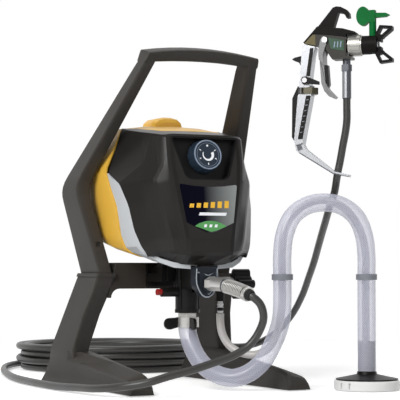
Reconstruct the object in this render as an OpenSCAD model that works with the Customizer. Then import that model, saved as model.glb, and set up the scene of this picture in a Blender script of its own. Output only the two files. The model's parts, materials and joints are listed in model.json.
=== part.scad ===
// Airless paint sprayer on a two-legged carrying stand, with its spray gun, hoses and suction set.
// +Z is up, the floor is z = 0, the front of the sprayer faces -Y and X = 0 is its middle plane.

/* [Stand] */
// Height of the middle of the carrying bar
stand_h = 474; // [430:1:520]
// Half the outer width of the stand at its elbows
elbow_x = 133; // [126:0.5:160]
// Height of the elbows
elbow_z = 282; // [250:1:310]
// Half the outer width of the stand where its arms enter the legs
socket_x = 103.5; // [100:0.5:125]
// Height of the top of the legs
socket_z = 160; // [150:1:175]
// Half the outer width of the carrying bar
bar_x = 83; // [65:0.5:100]
// Length of a foot, from heel to toe
foot_l = 345; // [320:1:430]
// Width of a foot on the floor
foot_w = 34; // [28:1:42]
// How far the rubber pads stand out under the feet
pad_out = 1; // [0.5:0.5:2]

/* [Housing] */
// Half the width of the housing at its shoulder
house_x = 102; // [98:0.5:106]
// Wall thickness of the moulded covers
cover_wall = 2.6; // [2:0.1:3]
// How far the rear cover reaches behind the middle of the stand
house_rear = 75; // [73:1:90]
// Number of cooling slots in the rear cover
vent_count = 7; // [3:1:9]
// Tilt of the control panel
panel_tilt = 10; // [6:1:14]
// Depth of the control panel's recess
panel_depth = 10; // [8:0.5:12]
// Radius of the pressure dial at its base
dial_r = 23.5; // [17:0.5:24]

/* [Drive] */
// Gear module
gear_m = 1.4; // [1.1:0.05:1.4]
// Teeth of the motor pinion
pinion_teeth = 12; // [12:1:14]
// Teeth of the crank gear
gear_teeth = 52; // [44:1:54]
// Crank throw, half the pump's stroke
throw = 6; // [5:0.5:7]
// Radius of the crank pin
pin_r = 4; // [3:0.5:5]
// Height of the motor shaft
motor_z = 275; // [270:1:280]
// Outer radius of the motor case
motor_r = 49; // [45:0.5:52]
// Length of the motor case
motor_l = 69; // [60:1:70]

/* [Pump] */
// Distance of the pump's axis in front of the middle of the stand
pump_y = 65; // [60:1:70]
// Radius of the piston rod
rod_r = 6; // [5:0.25:7]
// Radius of the piston head
piston_r = 9; // [8:0.25:10]
// Running clearance round shafts and rods
run_fit = 0.05; // [0.02:0.01:0.1]
// Radius of the prime knob
knob_r = 21; // [18:0.5:26]

/* [Hoses] */
// Outer diameter of the high-pressure hose
hose_d = 10.5; // [9:0.5:11.5]
// Outer diameter of the suction tube
suction_d = 25; // [21:0.5:25.5]
// Outer diameter of the return tube
return_d = 11; // [8:0.5:11.5]
// Mean radius of the outer loops of the coiled hose
coil_r = 160; // [140:1:165]
// Turns in each layer of the coiled hose
coil_turns = 2; // [1:1:3]
// Coils of the spring that guards the hose at the pump
guard_coils = 14; // [10:1:16]

/* [Gun] */
// Thickness of the gun's metal body
gun_t = 22; // [20:0.5:26]
// Radius of the collar nut behind the tip guard
collar_r = 14.8; // [13:0.2:16]
// Radius of the spray tip's barrel
tip_r = 5; // [4:0.25:6]
// Radius of the round handle on the spray tip
tip_knob_r = 12; // [9:0.5:12]

/* [Hidden] */

seat = 0.2;        // gap between fixed pieces that sit against each other
round_fn = 64;

// ---------- vectors, curves and lofts ----------

function unit(v) = v / norm(v);
function mix(a, b, t) = a + (b - a) * t;
function clamp(i, n) = max(0, min(n - 1, i));
function turned(v, a) = [v[0] * cos(a) - v[1] * sin(a), v[0] * sin(a) + v[1] * cos(a)];

// A value on two straight lines that meet at z1, rounded over the distance h either side.
function bent(z, z0, v0, z1, v1, z2, v2, h) =
    let (lower = (v1 - v0) / (z1 - z0), upper = (v2 - v1) / (z2 - z1))
    z < z1 - h ? v1 + (z - z1) * lower :
    z > z1 + h ? v1 + (z - z1) * upper :
    v1 + (z - z1) * lower + (upper - lower) * pow(z - z1 + h, 2) / (4 * h);

// A closed outline whose corners are each cut back by r and rounded.
function soft_ring(corners, r) =
    let (n = len(corners))
    [for (i = [0 : n - 1])
        let (c = corners[i])
        let (a = c + unit(corners[(i + n - 1) % n] - c) * r)
        let (b = c + unit(corners[(i + 1) % n] - c) * r)
        each [a, c + (a + b - 2 * c) * 0.293, b]];

// An open row of points whose inner corners are each cut back by r.
function soft_row(row, r) =
    [row[0],
    for (i = [1 : len(row) - 2])
        let (c = row[i])
        let (back = row[i - 1] - c)
        let (on = row[i + 1] - c)
        each [c + back * min(0.45, r / norm(back)), c + on * min(0.45, r / norm(on))],
    row[len(row) - 1]];

// Solid through closed rings of equal length, each counter-clockwise seen from the next ring's side.
module loft(rings) {
    m = len(rings[0]);
    n = len(rings);
    sides = [for (i = [0 : n - 2], j = [0 : m - 1])
        let (a = i * m + j, b = i * m + (j + 1) % m)
        each [[a, a + m, b + m], [a, b + m, b]]];
    first = [for (j = [0 : m - 1]) j];
    last = [for (j = [m - 1 : -1 : 0]) (n - 1) * m + j];
    polyhedron([for (r = rings) each r], concat(sides, [first], [last]), convexity = 6);
}

// Outward normals of an open grid of points, rows first.
function grid_normal(g, i, j) =
    let (rows = len(g), cols = len(g[0]))
    let (along = g[clamp(i + 1, rows)][j] - g[clamp(i - 1, rows)][j])
    let (across = g[i][clamp(j + 1, cols)] - g[i][clamp(j - 1, cols)])
    unit(cross(across, along));

// Moulded skin of an even wall behind an open grid of points.
module skin(g, wall) {
    rows = len(g);
    cols = len(g[0]);
    inner = [for (i = [0 : rows - 1]) [for (j = [0 : cols - 1]) g[i][j] - grid_normal(g, i, j) * wall]];
    count = rows * cols;
    face_pairs = [for (i = [0 : rows - 2], j = [0 : cols - 2])
        let (a = i * cols + j, b = a + 1, c = a + cols, d = c + 1)
        each [[a, c, d], [a, d, b], [a + count, d + count, c + count], [a + count, b + count, d + count]]];
    rim = concat(
        [for (j = [0 : cols - 1]) j],
        [for (i = [1 : rows - 1]) i * cols + cols - 1],
        [for (j = [cols - 2 : -1 : 0]) (rows - 1) * cols + j],
        [for (i = [rows - 2 : -1 : 1]) i * cols]);
    edges = [for (k = [0 : len(rim) - 1])
        let (a = rim[k], b = rim[(k + 1) % len(rim)])
        each [[a, b, b + count], [a, b + count, a + count]]];
    polyhedron(concat([for (r = g) each r], [for (r = inner) each r]), concat(face_pairs, edges), convexity = 8);
}

// Smooth curve through points, k steps to a span.
function span_tangent(p, i) =
    i == 0 ? unit(p[1] - p[0]) :
    i == len(p) - 1 ? unit(p[i] - p[i - 1]) :
    unit(unit(p[i] - p[i - 1]) * norm(p[i + 1] - p[i]) + unit(p[i + 1] - p[i]) * norm(p[i] - p[i - 1]));
function hermite(a, ta, b, tb, t) =
    let (l = norm(b - a))
    a * (2 * t * t * t - 3 * t * t + 1) + ta * l * (t * t * t - 2 * t * t + t)
    + b * (3 * t * t - 2 * t * t * t) + tb * l * (t * t * t - t * t);
function smooth_path(p, k) =
    [for (i = [0 : len(p) - 2], s = [0 : k - 1])
        hermite(p[i], span_tangent(p, i), p[i + 1], span_tangent(p, i + 1), s / k),
    p[len(p) - 1]];

// Rings of a round tube along a path, with no twist.
function square_to(n, t) = unit(n - t * (n * t));
function tube_rings(path, r, sides) =
    let (t0 = span_tangent(path, 0))
    let (n0 = square_to(abs(t0[2]) > 0.9 ? [1, 0, 0] : [0, 0, 1], t0))
    let (normals = [for (i = 0, n = n0; i < len(path);
        n = i + 1 < len(path) ? square_to(n, span_tangent(path, i + 1)) : n, i = i + 1) n])
    [for (i = [0 : len(path) - 1])
        let (t = span_tangent(path, i), n = normals[i], b = cross(t, n))
        [for (s = [0 : sides - 1]) path[i] + (n * cos(360 * (s + 0.5) / sides) + b * sin(360 * (s + 0.5) / sides)) * r]];
module tube(path, r, sides) {
    loft(tube_rings(path, r, sides));
}

// ---------- stand ----------

// Middle of the box round the sprayer and its gun, which is put over the origin.
middle = [49, -38];
module placed() translate([-middle[0], -middle[1], 0]) children();

bar_drop = 7;                       // how much lower the bar is at its ends than at its middle
bar_lean = 8;                       // how much lower the bar's front edge is than its rear edge
bar_z = stand_h - bar_drop - bar_lean;  // front edge of the bar at its ends
tenon_l = 14;                       // how deep an arm enters its leg
leg_wall = 2.5;

function arm_x(z) = bent(z, socket_z, socket_x, elbow_z, elbow_x, bar_z, bar_x, 14);
function arm_front(z) = bent(z, socket_z, 6, elbow_z, 28, bar_z, -123, 18);
function arm_rear(z) = bent(z, socket_z, 78.5, elbow_z, 87.5, bar_z, -89.5, 18);
function arm_front_w(z) = bent(z, socket_z, 20.5, elbow_z, 21.5, bar_z, 15.5, 18);
function arm_rear_w(z) = bent(z, socket_z, 27, elbow_z, 25, bar_z, 18, 18);
function arm_corners(z, grow) = [
    [arm_x(z) + grow, arm_front(z) - grow],
    [arm_x(z) + grow, arm_rear(z) + grow],
    [arm_x(z) - arm_rear_w(z) - grow, arm_rear(z) + grow],
    [arm_x(z) - arm_front_w(z) - grow, arm_front(z) - grow]];
function level(ring, z) = [for (p = ring) [p[0], p[1], z]];

arm_levels = [socket_z, mix(socket_z, elbow_z, 0.5), elbow_z - 20, elbow_z - 12, elbow_z - 5, elbow_z + 2,
    elbow_z + 9, elbow_z + 18, mix(elbow_z, bar_z, 0.35), mix(elbow_z, bar_z, 0.7), bar_z - 14];

module tenon(gap) {
    w = arm_front_w(socket_z) - 6 + 2 * gap;
    depth = arm_rear(socket_z) - arm_front(socket_z) - 14 + 2 * gap;
    translate([socket_x - 3 - w + gap, arm_front(socket_z) + 7 - gap, socket_z - tenon_l - gap])
        cube([w, depth, tenon_l + gap + 1]);
}

function bar_ring(t) =
    let (crown = bar_drop * (1 - t * t))
    let (outline = soft_ring([
        [arm_front(bar_z - 13), bar_z - 13 + crown * 0.7],
        [arm_rear(bar_z - 8), bar_z - 8 + crown * 0.7],
        [arm_rear(bar_z), bar_z + bar_lean + crown],
        [arm_front(bar_z), bar_z + crown]], 4))
    [for (p = outline) [t * arm_x(min(p[1] - crown, bar_z)), p[0], p[1]]];

module handle_frame() color("dimgray") placed() difference() {
    union() {
        for (side = [0, 1])
            mirror([side, 0, 0]) {
                // the last ring lies inside the bar
                loft([for (z = concat(arm_levels, [bar_z - 4]))
                    level(soft_ring(arm_corners(z, z > bar_z - 5 ? -0.5 : 0), 4), z)]);
                tenon(0);
            }
        loft([for (i = [0 : 8]) bar_ring(-1 + i / 4)]);
    }
    // square driver recesses in the fronts of the arms
    for (x = [-1, 1])
        translate([x * 102.5, arm_front(201), 201])
            cube([7, 6, 7], center = true);
}

foot_out = elbow_x - 1.5;
toe_y = -foot_l * 175 / 345;
heel_y = toe_y + foot_l;
foot_base = pad_out;

function leg_x(z) = socket_x + 2.5 + (socket_z - 2 - max(z, 49)) * 0.2026 - max(0, 49 - z) * 0.15;
function leg_more(z) = (z - 30) / 65;
function leg_front(z) = lookup(z, [[30, 46], [60, 43], [101, 30], [134, 11], [socket_z, 3]]);
function leg_rear(z) = mix(136, 82, (z - 50) / (socket_z - 50));
function leg_corners(z, grow) = [
    [leg_x(z) + grow, leg_front(z) - grow],
    [leg_x(z) + grow, leg_rear(z) + grow],
    [leg_x(z) - 31 - leg_more(z) - grow, leg_rear(z) + grow],
    [leg_x(z) - 25 - leg_more(z) - grow, leg_front(z) - grow]];

leg_levels = [30, 38, 49, 60, 80, 101, 118, 134, socket_z - 5];

// One cross-section of a foot at the place y: heights of its outer ridge and of its top, and how far the
// top's outer edge lies inside the foot's outer face.
function foot_ring(y, ridge, top, in) =
    let (inner = foot_out - foot_w, r = min(4, in - 0.6))
    [for (p = [[inner, foot_base], [inner + 1, top - 4], [inner + 5, top], [foot_out - in, top],
        [foot_out - r, ridge + 1.5], [foot_out - r * 0.4, ridge - 1.5], [foot_out, foot_base]])
        [p[0] - 0.017 * y, y, p[1]]];
foot_stations = [
    [toe_y, 7, 9, 25], [toe_y + 3, 11, 14.5, 25], [toe_y + 8, 14.5, 20, 25], [toe_y + 16, 17, 25, 25],
    [toe_y + 29, 19, 28, 25], [-60, 26, 38, 24], [28, 32, 47.5, 14], [64, 35, 49, 1.5],
    [heel_y - 41, 38, 49.5, 1.5], [heel_y - 27, 28, 35, 4], [heel_y - 12, 13.5, 17, 6], [heel_y, 4, 6.5, 6]];

module leg() {
    difference() {
        union() {
            loft([for (z = leg_levels) level(soft_ring(leg_corners(z, 0), 4), z)]);
            loft([for (z = [socket_z - 5, socket_z]) level(soft_ring(leg_corners(z, 1.5), 4), z)]);
            loft([for (s = foot_stations) foot_ring(s[0], s[1], s[2], s[3])]);
        }
        tenon(0.3);
        crossbar_beam(0.3);
        pads_one_side(0.15);
    }
}
module right_leg() color("dimgray") placed() leg();
module left_leg() color("dimgray") placed() mirror([1, 0, 0]) leg();

// Beam between the legs, with a rounded fillet under each end.
beam_low = 138;
beam_high = 175;
beam_front = 10;
beam_rear = 40;
beam_fillet = 13;
function leg_inner(z) = leg_x(z) - 25 - leg_more(z);
module crossbar_beam(grow) {
    right = concat(
        [[leg_inner(beam_high) + 1.2 + grow, beam_high + grow]],
        [[leg_inner(beam_low - beam_fillet) + 1.2 + grow, beam_low - beam_fillet - grow]],
        [for (a = [0 : 15 : 90])
            [leg_inner(beam_low), beam_low - grow] - beam_fillet * [1 - cos(a), 1 - sin(a)]]);
    outline = concat(right, [for (i = [len(right) - 1 : -1 : 0]) [-right[i][0], right[i][1]]]);
    translate([0, beam_rear + grow, 0])
        rotate([90, 0, 0])
            linear_extrude(beam_rear - beam_front + 2 * grow)
                polygon(outline);
}
module crossbar() color("dimgray") placed() difference() {
    crossbar_beam(0);
    // hollow underside
    translate([-60, beam_front + 5, beam_low - 1])
        cube([120, beam_rear - beam_front - 10, 26]);
}

// Rubber pads let into the underside of each foot.
module pads_one_side(gap) {
    for (y = [toe_y + 40, heel_y - 45])
        translate([foot_out - foot_w / 2, y, 0])
            linear_extrude(4 + gap)
                offset(delta = gap)
                    square([20, 40], center = true);
}
module foot_pads() color("black") placed() {
    for (side = [0, 1])
        mirror([side, 0, 0])
            pads_one_side(0);
}

// ---------- housing ----------

// Height of the housing's underside at the place y.
nose_y = -121;
function house_floor(y) = y < nose_y ? 164 + pow(nose_y - y, 2) * 0.018 : 164 + (y - nose_y) * 0.209;

// Half a cross-section from the middle of the floor to the middle of the roof: share of the half width,
// then the height as a share of the way from the floor to waist_z, at the front and at the rear, or above
// it as a real height. In front of roof_y the roof slopes down.
waist_z = 253;
low_shape = [[0, 0, 0], [0.44, 0.015, 0.01], [0.62, 0.06, 0.02], [0.74, 0.17, 0.05], [0.82, 0.33, 0.12],
    [0.88, 0.6, 0.35]];
high_shape = [[0.93, 253], [0.985, 283], [1, 300], [0.99, 309], [0.79, 358], [0.755, 364], [0.61, 366.3], [0.42, 368.2],
    [0, 370]];
roof_y = -13;
half_count = len(low_shape) + len(high_shape);
function house_half(k, y) =
    k < len(low_shape) ?
        [low_shape[k][0] * house_x,
            mix(house_floor(y), waist_z, lookup(y, [[-94, low_shape[k][1]], [-10, low_shape[k][2]]]))] :
        let (p = high_shape[k - len(low_shape)])
        [p[0] * house_x, p[1] + (p[1] > 365 ? min(0, y - roof_y) * 0.168 : 0)];
ring_count = 2 * half_count - 2;
function half_index(i) = i < half_count ? i : ring_count - i;
function house_point(i, y) =
    let (p = house_half(half_index(i), y))
    [i < half_count ? p[0] : -p[0], p[1]];

// Point i of the cross-section at y, moved inwards by inset.
function house_inset(i, y, inset) =
    let (before = house_point((i + ring_count - 1) % ring_count, y))
    let (here = house_point(i, y))
    let (after = house_point((i + 1) % ring_count, y))
    let (e1 = unit(here - before), e2 = unit(after - here))
    let (n1 = [e1[1], -e1[0]], n2 = [e2[1], -e2[0]])
    let (n = unit(n1 + n2))
    here - n * inset / max(0.5, n * n1);
function house_place(i, y, inset) =
    let (p = house_inset(i, y, inset))
    [p[0], y, p[1]];

// Where the rear cover starts and where the front cover ends, for each point of half a cross-section.
rear_start = [-45, -44, -42, -40, -37, -34, -30, -19, -11, -12.5, -12.5, -12.5, -33, -78, -86.6];
front_end = [-124, -119, -108, -100, -94, -85, -76, -58, -22];

// Front cover: rows from its lower edge to its rear top edge, each from the middle to the right rim.
function front_y(z) = z < 285 ? -130.5 - (285 - z) * 0.1218 : -130.5 + (z - 285) * 0.19;
function rim(k) =
    let (p = house_point(k, front_end[k]))
    [p[0], front_end[k], p[1]];
function cover_row(z, flat_x, ridge, light, dark, edge) = [
    [0, front_y(z), z], [flat_x, front_y(z), z], ridge, light, dark, edge];
cover_half = [
    [[0, -124, 170.5], [30, -118, 172], [41, -113, 174], [50, -107, 178], [62, -100, 183], rim(3)],
    [[0, -139, 186], [32, -139, 186], [42, -134.5, 187], [52, -128, 188], [65, -113, 190],
        (rim(3) + rim(4)) / 2],
    cover_row(207, 34, [43.5, -134.5, 207], [55.9, -129.5, 207], [69, -111, 207], rim(4)),
    cover_row(230, 38, [47.5, -131.5, 230], [61, -124.5, 230], [74, -105, 230], rim(5)),
    cover_row(253, 42, [53, -128.5, 253], [66, -119.6, 253], [80, -99.5, 253], rim(6)),
    cover_row(285, 47, [57.5, -126, 285], [73, -114.5, 285], [84.5, -92, 285], rim(7)),
    cover_row(310, 50, [60, -121.5, 310], [69, -111, 303], [78, -86, 312], rim(8)),
    cover_row(350, 50, [60, -114.5, 348], [66, -93, 351.5], [71, -66, 355], [78.5, -13.4, 362]),
    [[0, -88, 356.9], [30, -81.8, 357.2], [44.6, -79.4, 356.7], [62.9, -33.3, 362.8], [70.6, -22.7, 363.4],
        [77, -13.4, 364]]];
function whole_row(half) = concat([for (j = [len(half) - 1 : -1 : 1]) [-half[j][0], half[j][1], half[j][2]]], half);
function soft_grid(g, r) =
    let (rows = [for (row = g) soft_row(row, r)])
    let (columns = [for (j = [0 : len(rows[0]) - 1]) soft_row([for (row = rows) row[j]], r)])
    [for (i = [0 : len(columns[0]) - 1]) [for (c = columns) c[i]]];
cover_grid = soft_grid([for (row = cover_half) whole_row(row)], 3);

// Control panel: a tray let into the front cover, square to the tilted front.
panel_z = 321;
panel_top = 26.5;
panel_bottom = -34;
module at_panel() translate([0, front_y(panel_z), panel_z]) rotate([-panel_tilt, 0, 0]) children();
module panel_outline(grow) {
    half = [[0, panel_bottom], [24, panel_bottom], [30, panel_bottom + 2], [34, panel_bottom + 6],
        [50, panel_top - 6], [50.5, panel_top - 3], [48, panel_top], [0, panel_top]];
    offset(delta = grow)
        polygon(concat(half, [for (i = [len(half) - 2 : -1 : 1]) [-half[i][0], half[i][1]]]));
}
// Solid of the panel's outline between two depths behind the front.
module panel_solid(grow, from, to) {
    at_panel()
        translate([0, to, 0])
            rotate([90, 0, 0])
                linear_extrude(to - from)
                    panel_outline(grow);
}
control_r = 4;

module front_cover() color("darkslategray") placed() {
    difference() {
        skin(cover_grid, cover_wall);
        panel_solid(0, -12, 9);
        // square notch over the dial
        at_panel()
            translate([0, -2, panel_top + 3.5])
                cube([4, 6, 2.5], center = true);
    }
    // bosses that carry the cover on the gear frame
    for (side = [-1, 1])
        translate([side * 43, frame_front - 0.05, motor_z])
            rotate([90, 0, 0])
                cylinder(r = 4.5, h = -front_y(motor_z) + frame_front - 1.2, $fn = 24);
}

module control_panel() color("black") placed() difference() {
    panel_solid(-0.3, 0.6, panel_depth + 2.5);
    panel_solid(-2.3, -1, panel_depth);
    at_panel()
        rotate([90, 0, 0])
            cylinder(r = control_r + 0.4, h = 60, center = true, $fn = round_fn);
}

dial_face = 17;
module pressure_dial() color("midnightblue") placed()
    at_panel()
        translate([0, panel_depth - 0.4, 0])
            rotate([90, 0, 0]) {
                difference() {
                    rotate_extrude($fn = 96)
                        polygon([[0, 0], [dial_r, 0], [dial_r, 3], [dial_r - 1.2, 9], [dial_r - 2.6, dial_face - 1],
                            [dial_r - 3.4, dial_face], [dial_r - 4.6, dial_face - 0.8], [0, dial_face - 0.8]]);
                    // finger flutes round the skirt
                    for (a = [0 : 30 : 330])
                        rotate([0, 0, a + 15])
                            translate([dial_r + 2.4, 0, -1])
                                cylinder(r = 3.2, h = 8, $fn = 24);
                }
                translate([0, 0, -14])
                    cylinder(r = control_r, h = 14.5, $fn = round_fn);
            }

module pressure_control() color("dimgray") placed()
    at_panel()
        translate([0, panel_depth + 2.7, 0])
            rotate([-90, 0, 0])
                difference() {
                    union() {
                        cylinder(r = 12, h = 12, $fn = round_fn);
                        translate([0, 0, 6])
                            cube([30, 24, 12], center = true);
                    }
                    translate([0, 0, -1])
                        cylinder(r = control_r + run_fit, h = 12.6, $fn = round_fn);
                }

board_y = panel_depth + 2.7 + 12 + seat;
module control_board() color("darkgreen") placed()
    at_panel() {
        translate([-38, board_y, -26])
            cube([76, 1.6, 52]);
        for (x = [-26, 20])
            translate([x, board_y + 1.6, -18])
                cube([9, 14, 22]);
        translate([-8, board_y + 1.6, -20])
            cube([16, 8, 16]);
        // posts from the panel's floor to the board
        for (x = [-28, 28], z = [-24, 16])
            translate([x, panel_depth + 2.7, z])
                rotate([-90, 0, 0])
                    cylinder(r = 2.5, h = 12 + seat + 0.5, $fn = 24);
    }

// Label plate, a shield with a point at its lower edge, on the flat of the front.
label_z = 248;
module label_plate() color("slategray") placed()
    translate([0, front_y(label_z), label_z])
        rotate([-atan(0.1218), 0, 0])
            translate([0, -0.1, 0])
                rotate([90, 0, 0])
                    linear_extrude(1)
                        polygon([[0, -33.5], [8, -31.5], [35.5, -19], [43.5, 32], [42, 33.6], [22, 31],
                            [0, 30], [-22, 31], [-42, 33.6], [-43.5, 32], [-35.5, -19], [-8, -31.5]]);

// Band between the covers: rows round the housing, from the left side under the floor to the right side.
band_top = len(front_end) - 1;
lap = cover_wall + 0.4;
function band_row(k) =
    let (a = front_end[k], b = rear_start[k])
    let (tuck = k == 0 ? 3 : 5)
    [house_place(k, a + tuck * 0.9, lap + tuck * 1.1),
    house_place(k, a + 3, lap * min(1, k * 0.4 + 0.1) ),
    house_place(k, mix(a, b, 0.3), lap * 0.4),
    house_place(k, b - 2, lap * 0.6),
    house_place(k, b + 0.2, lap),
    house_place(k, b + 6, lap + 0.1)];
module mid_band() color("silver") placed() difference() {
    right = [for (k = [1 : band_top]) band_row(k)];
    left = [for (k = [band_top : -1 : 1]) [for (p = band_row(k)) [-p[0], p[1], p[2]]]];
    skin([for (row = concat(left, [band_row(0)], right)) row], 2);
    neck_cuts();
}

// Openings in the housing's floor for the pump and for the frame that carries it.
module neck_cuts() {
    translate([-31, frame_rear - 1.5, 150])
        mirror([0, 1, 0])
            translate([0, -3, 0])
                cube([62, frame_front - frame_rear < 0 ? 17 + 3 : 20, 60]);
    translate([0, -pump_y, 140])
        cylinder(r = 20, h = 60, $fn = round_fn);
    translate([-20.5, -160, 120])
        cube([41, 160 - pump_y, 51]);
}

// Rear cover: a deep cup from its front edge round to its rear wall.
function cup_ring(s, inset) = [for (i = [0 : ring_count - 1])
    let (start = rear_start[half_index(i)])
    house_place(i, mix(start, house_rear - 25, s), inset)];
function end_ring(y, inset, scale) = [for (i = [0 : ring_count - 1])
    let (p = house_place(i, y, inset))
    [p[0] * scale, y, mix(motor_z, p[2], scale)]];
rear_round = [[25, 1], [12, 0.985], [5, 0.955], [1.5, 0.92], [0, 0.87]];
module rear_cup() {
    outer = concat(
        [for (e = [len(rear_round) - 1 : -1 : 1]) end_ring(house_rear - rear_round[e][0], 0, rear_round[e][1])],
        [for (s = [1, 0.5, 0]) cup_ring(s, 0)]);
    inner = concat(
        [for (s = [0, 0.5, 1]) cup_ring(s, cover_wall)],
        [for (e = [1 : len(rear_round) - 1])
            end_ring(house_rear - cover_wall - rear_round[e][0], cover_wall, rear_round[e][1])]);
    loft(concat(outer, inner));
}
hump_y = 20;
module rear_cover() color("gold") placed() {
    difference() {
        union() {
            rear_cup();
            // raised grip on the roof
            loft([for (s = [[26, 0.55], [23, 0.85], [16, 1], [-16, 1], [-23, 0.85], [-26, 0.55]])
                [for (p = [[-25, 367.5], [25, 367.5], [22.5, 376.5], [16, 382], [6, 384], [-6, 384], [-16, 382],
                    [-22.5, 376.5]])
                    [p[0] * s[1], hump_y + s[0], 367.5 + (p[1] - 367.5) * s[1]]]]);
        }
        neck_cuts();
        // cooling slots in the rear wall
        for (i = [0 : vent_count - 1])
            translate([-32, house_rear - 8, motor_z - 30 + i * 9])
                cube([64, 16, 3.6]);
        translate([switch_x, house_rear, switch_z])
            cube([13.4, 30, 19.4], center = true);
        translate([-switch_x, house_rear, switch_z])
            rotate([90, 0, 0])
                cylinder(r = 7.7, h = 30, center = true, $fn = round_fn);
    }
    // bosses that carry the cover on the motor's end bell
    for (a = [45 : 90 : 315])
        translate([boss_ring * cos(a), bell_rear + 0.05, motor_z + boss_ring * sin(a)])
            rotate([-90, 0, 0])
                cylinder(r = 4.5, h = house_rear - cover_wall - bell_rear + 0.5, $fn = 24);
}

// Rocker switch and mains cord gland in the rear wall.
switch_x = 52;
switch_z = 232;
module at_switch() translate([switch_x, house_rear + 0.4, switch_z]) children();
module switch_body() color("black") placed() at_switch()
    difference() {
        union() {
            translate([-6.5, -14, -9.5])
                cube([13, 15, 19]);
            translate([-8.5, 0, -11.5])
                cube([17, 1.6, 23]);
        }
        translate([-4.5, -8, -8])
            cube([9, 12, 16]);
    }
// The rocker turns about a line 2 mm behind the switch's face.
module switch_rocker() color("firebrick") placed() at_switch()
    translate([-4.2, 0, 0])
        rotate([90, 0, 90])
            linear_extrude(8.4)
                polygon([[-4, -3], [0, -7.2], [1.4, -7.2], [1.8, 0], [4, 6.8], [2, 7.2], [-4, 3]]);
module cord_gland() color("black") placed()
    translate([-switch_x, house_rear, switch_z])
        rotate([-90, 0, 0])
            difference() {
                union() {
                    translate([0, 0, -12])
                        cylinder(r = 7.5, h = 12.5, $fn = round_fn);
                    translate([0, 0, 0.3])
                        cylinder(r = 10, h = 3, $fn = round_fn);
                    translate([0, 0, 3.2])
                        cylinder(r = 6.5, h = 8, $fn = round_fn);
                }
                translate([0, 0, -13])
                    cylinder(r = 4, h = 30, $fn = round_fn);
            }

// ---------- drive ----------

frame_front = -45;                 // front face of the gear frame
frame_t = 14;
frame_rear = frame_front + frame_t;
gear_gap = gear_m * (pinion_teeth + gear_teeth) / 2;
gear_z = motor_z - gear_gap;
shaft_r = 4;
gear_shaft_r = 6;
bearing_r = 11;
bearing_w = 7;
bell_front = frame_rear + motor_l + seat;
bell_t = 5;
bell_rear = bell_front + bell_t;
boss_ring = motor_r + 7;
case_wall = 3;
foot_low = 148;

// Cylinder along Y from one place to another.
module y_rod(r, from, to, fn = 64) {
    translate([0, to, 0])
        rotate([90, 0, 0])
            cylinder(r = r, h = to - from, $fn = fn);
}

module gear_frame() color("silver") placed() difference() {
    union() {
        translate([0, frame_rear, 0])
            rotate([90, 0, 0])
                linear_extrude(frame_t) {
                    translate([0, motor_z])
                        circle(r = motor_r + 1, $fn = 96);
                    polygon([[-motor_r, motor_z - 4], [-30, 205], [-30, foot_low], [30, foot_low], [30, 205],
                        [motor_r, motor_z - 4]]);
                }
        // foot that bolts to the crossbar
        translate([-30, frame_rear - 1, foot_low])
            cube([60, beam_front - frame_rear + 1 - 0.05, 12]);
        translate([-30, beam_front - 6, foot_low - 6])
            cube([60, 6 - 0.05, 31]);
        for (x = [-24, 18])
            translate([x, 0, 0])
                rotate([90, 0, 90])
                    linear_extrude(6)
                        polygon([[frame_rear - 1, foot_low + 11], [beam_front - 1, foot_low + 11],
                            [beam_front - 1, foot_low + 18], [frame_rear - 1, foot_low + 28]]);
    }
    translate([0, 0, motor_z]) {
        y_rod(bearing_r + 0.01, frame_front - 1, frame_front + bearing_w);
        y_rod(bearing_r - 2, frame_front, frame_rear + 1);
    }
    translate([0, 0, gear_z])
        y_rod(gear_shaft_r + run_fit, frame_front - 1, frame_rear + 1);
    // bolt holes to the crossbar
    for (x = [-12, 12])
        translate([x, 0, beam_high - 9])
            y_rod(3.2, beam_front - 12, beam_front + 2, 32);
}

module motor_case() color("gray") placed()
    translate([0, 0, motor_z])
        difference() {
            y_rod(motor_r, frame_rear + 0.05, bell_front - 0.05, 96);
            y_rod(motor_r - case_wall, frame_rear - 1, bell_front + 1, 96);
            // air slots
            for (a = [30 : 60 : 330])
                rotate([0, a, 0])
                    translate([motor_r - 6, frame_rear + 10, -5])
                        cube([10, 8, 10]);
        }

stator_r = motor_r - case_wall - 0.3;
core_r = 25;
core_front = frame_rear + 9;
core_l = 38;
module stator() color("sienna") placed()
    translate([0, 0, motor_z]) {
        difference() {
            y_rod(stator_r, core_front, core_front + core_l, 96);
            y_rod(core_r + 8, core_front - 1, core_front + core_l + 1, 96);
        }
        // two poles with their windings
        for (side = [0, 180])
            rotate([0, side, 0])
                difference() {
                    translate([-18, core_front - 3, core_r + 0.5])
                        cube([36, core_l + 6, 15]);
                    y_rod(core_r + 0.7, core_front - 9, core_front + core_l + 9, 96);
                }
    }

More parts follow.
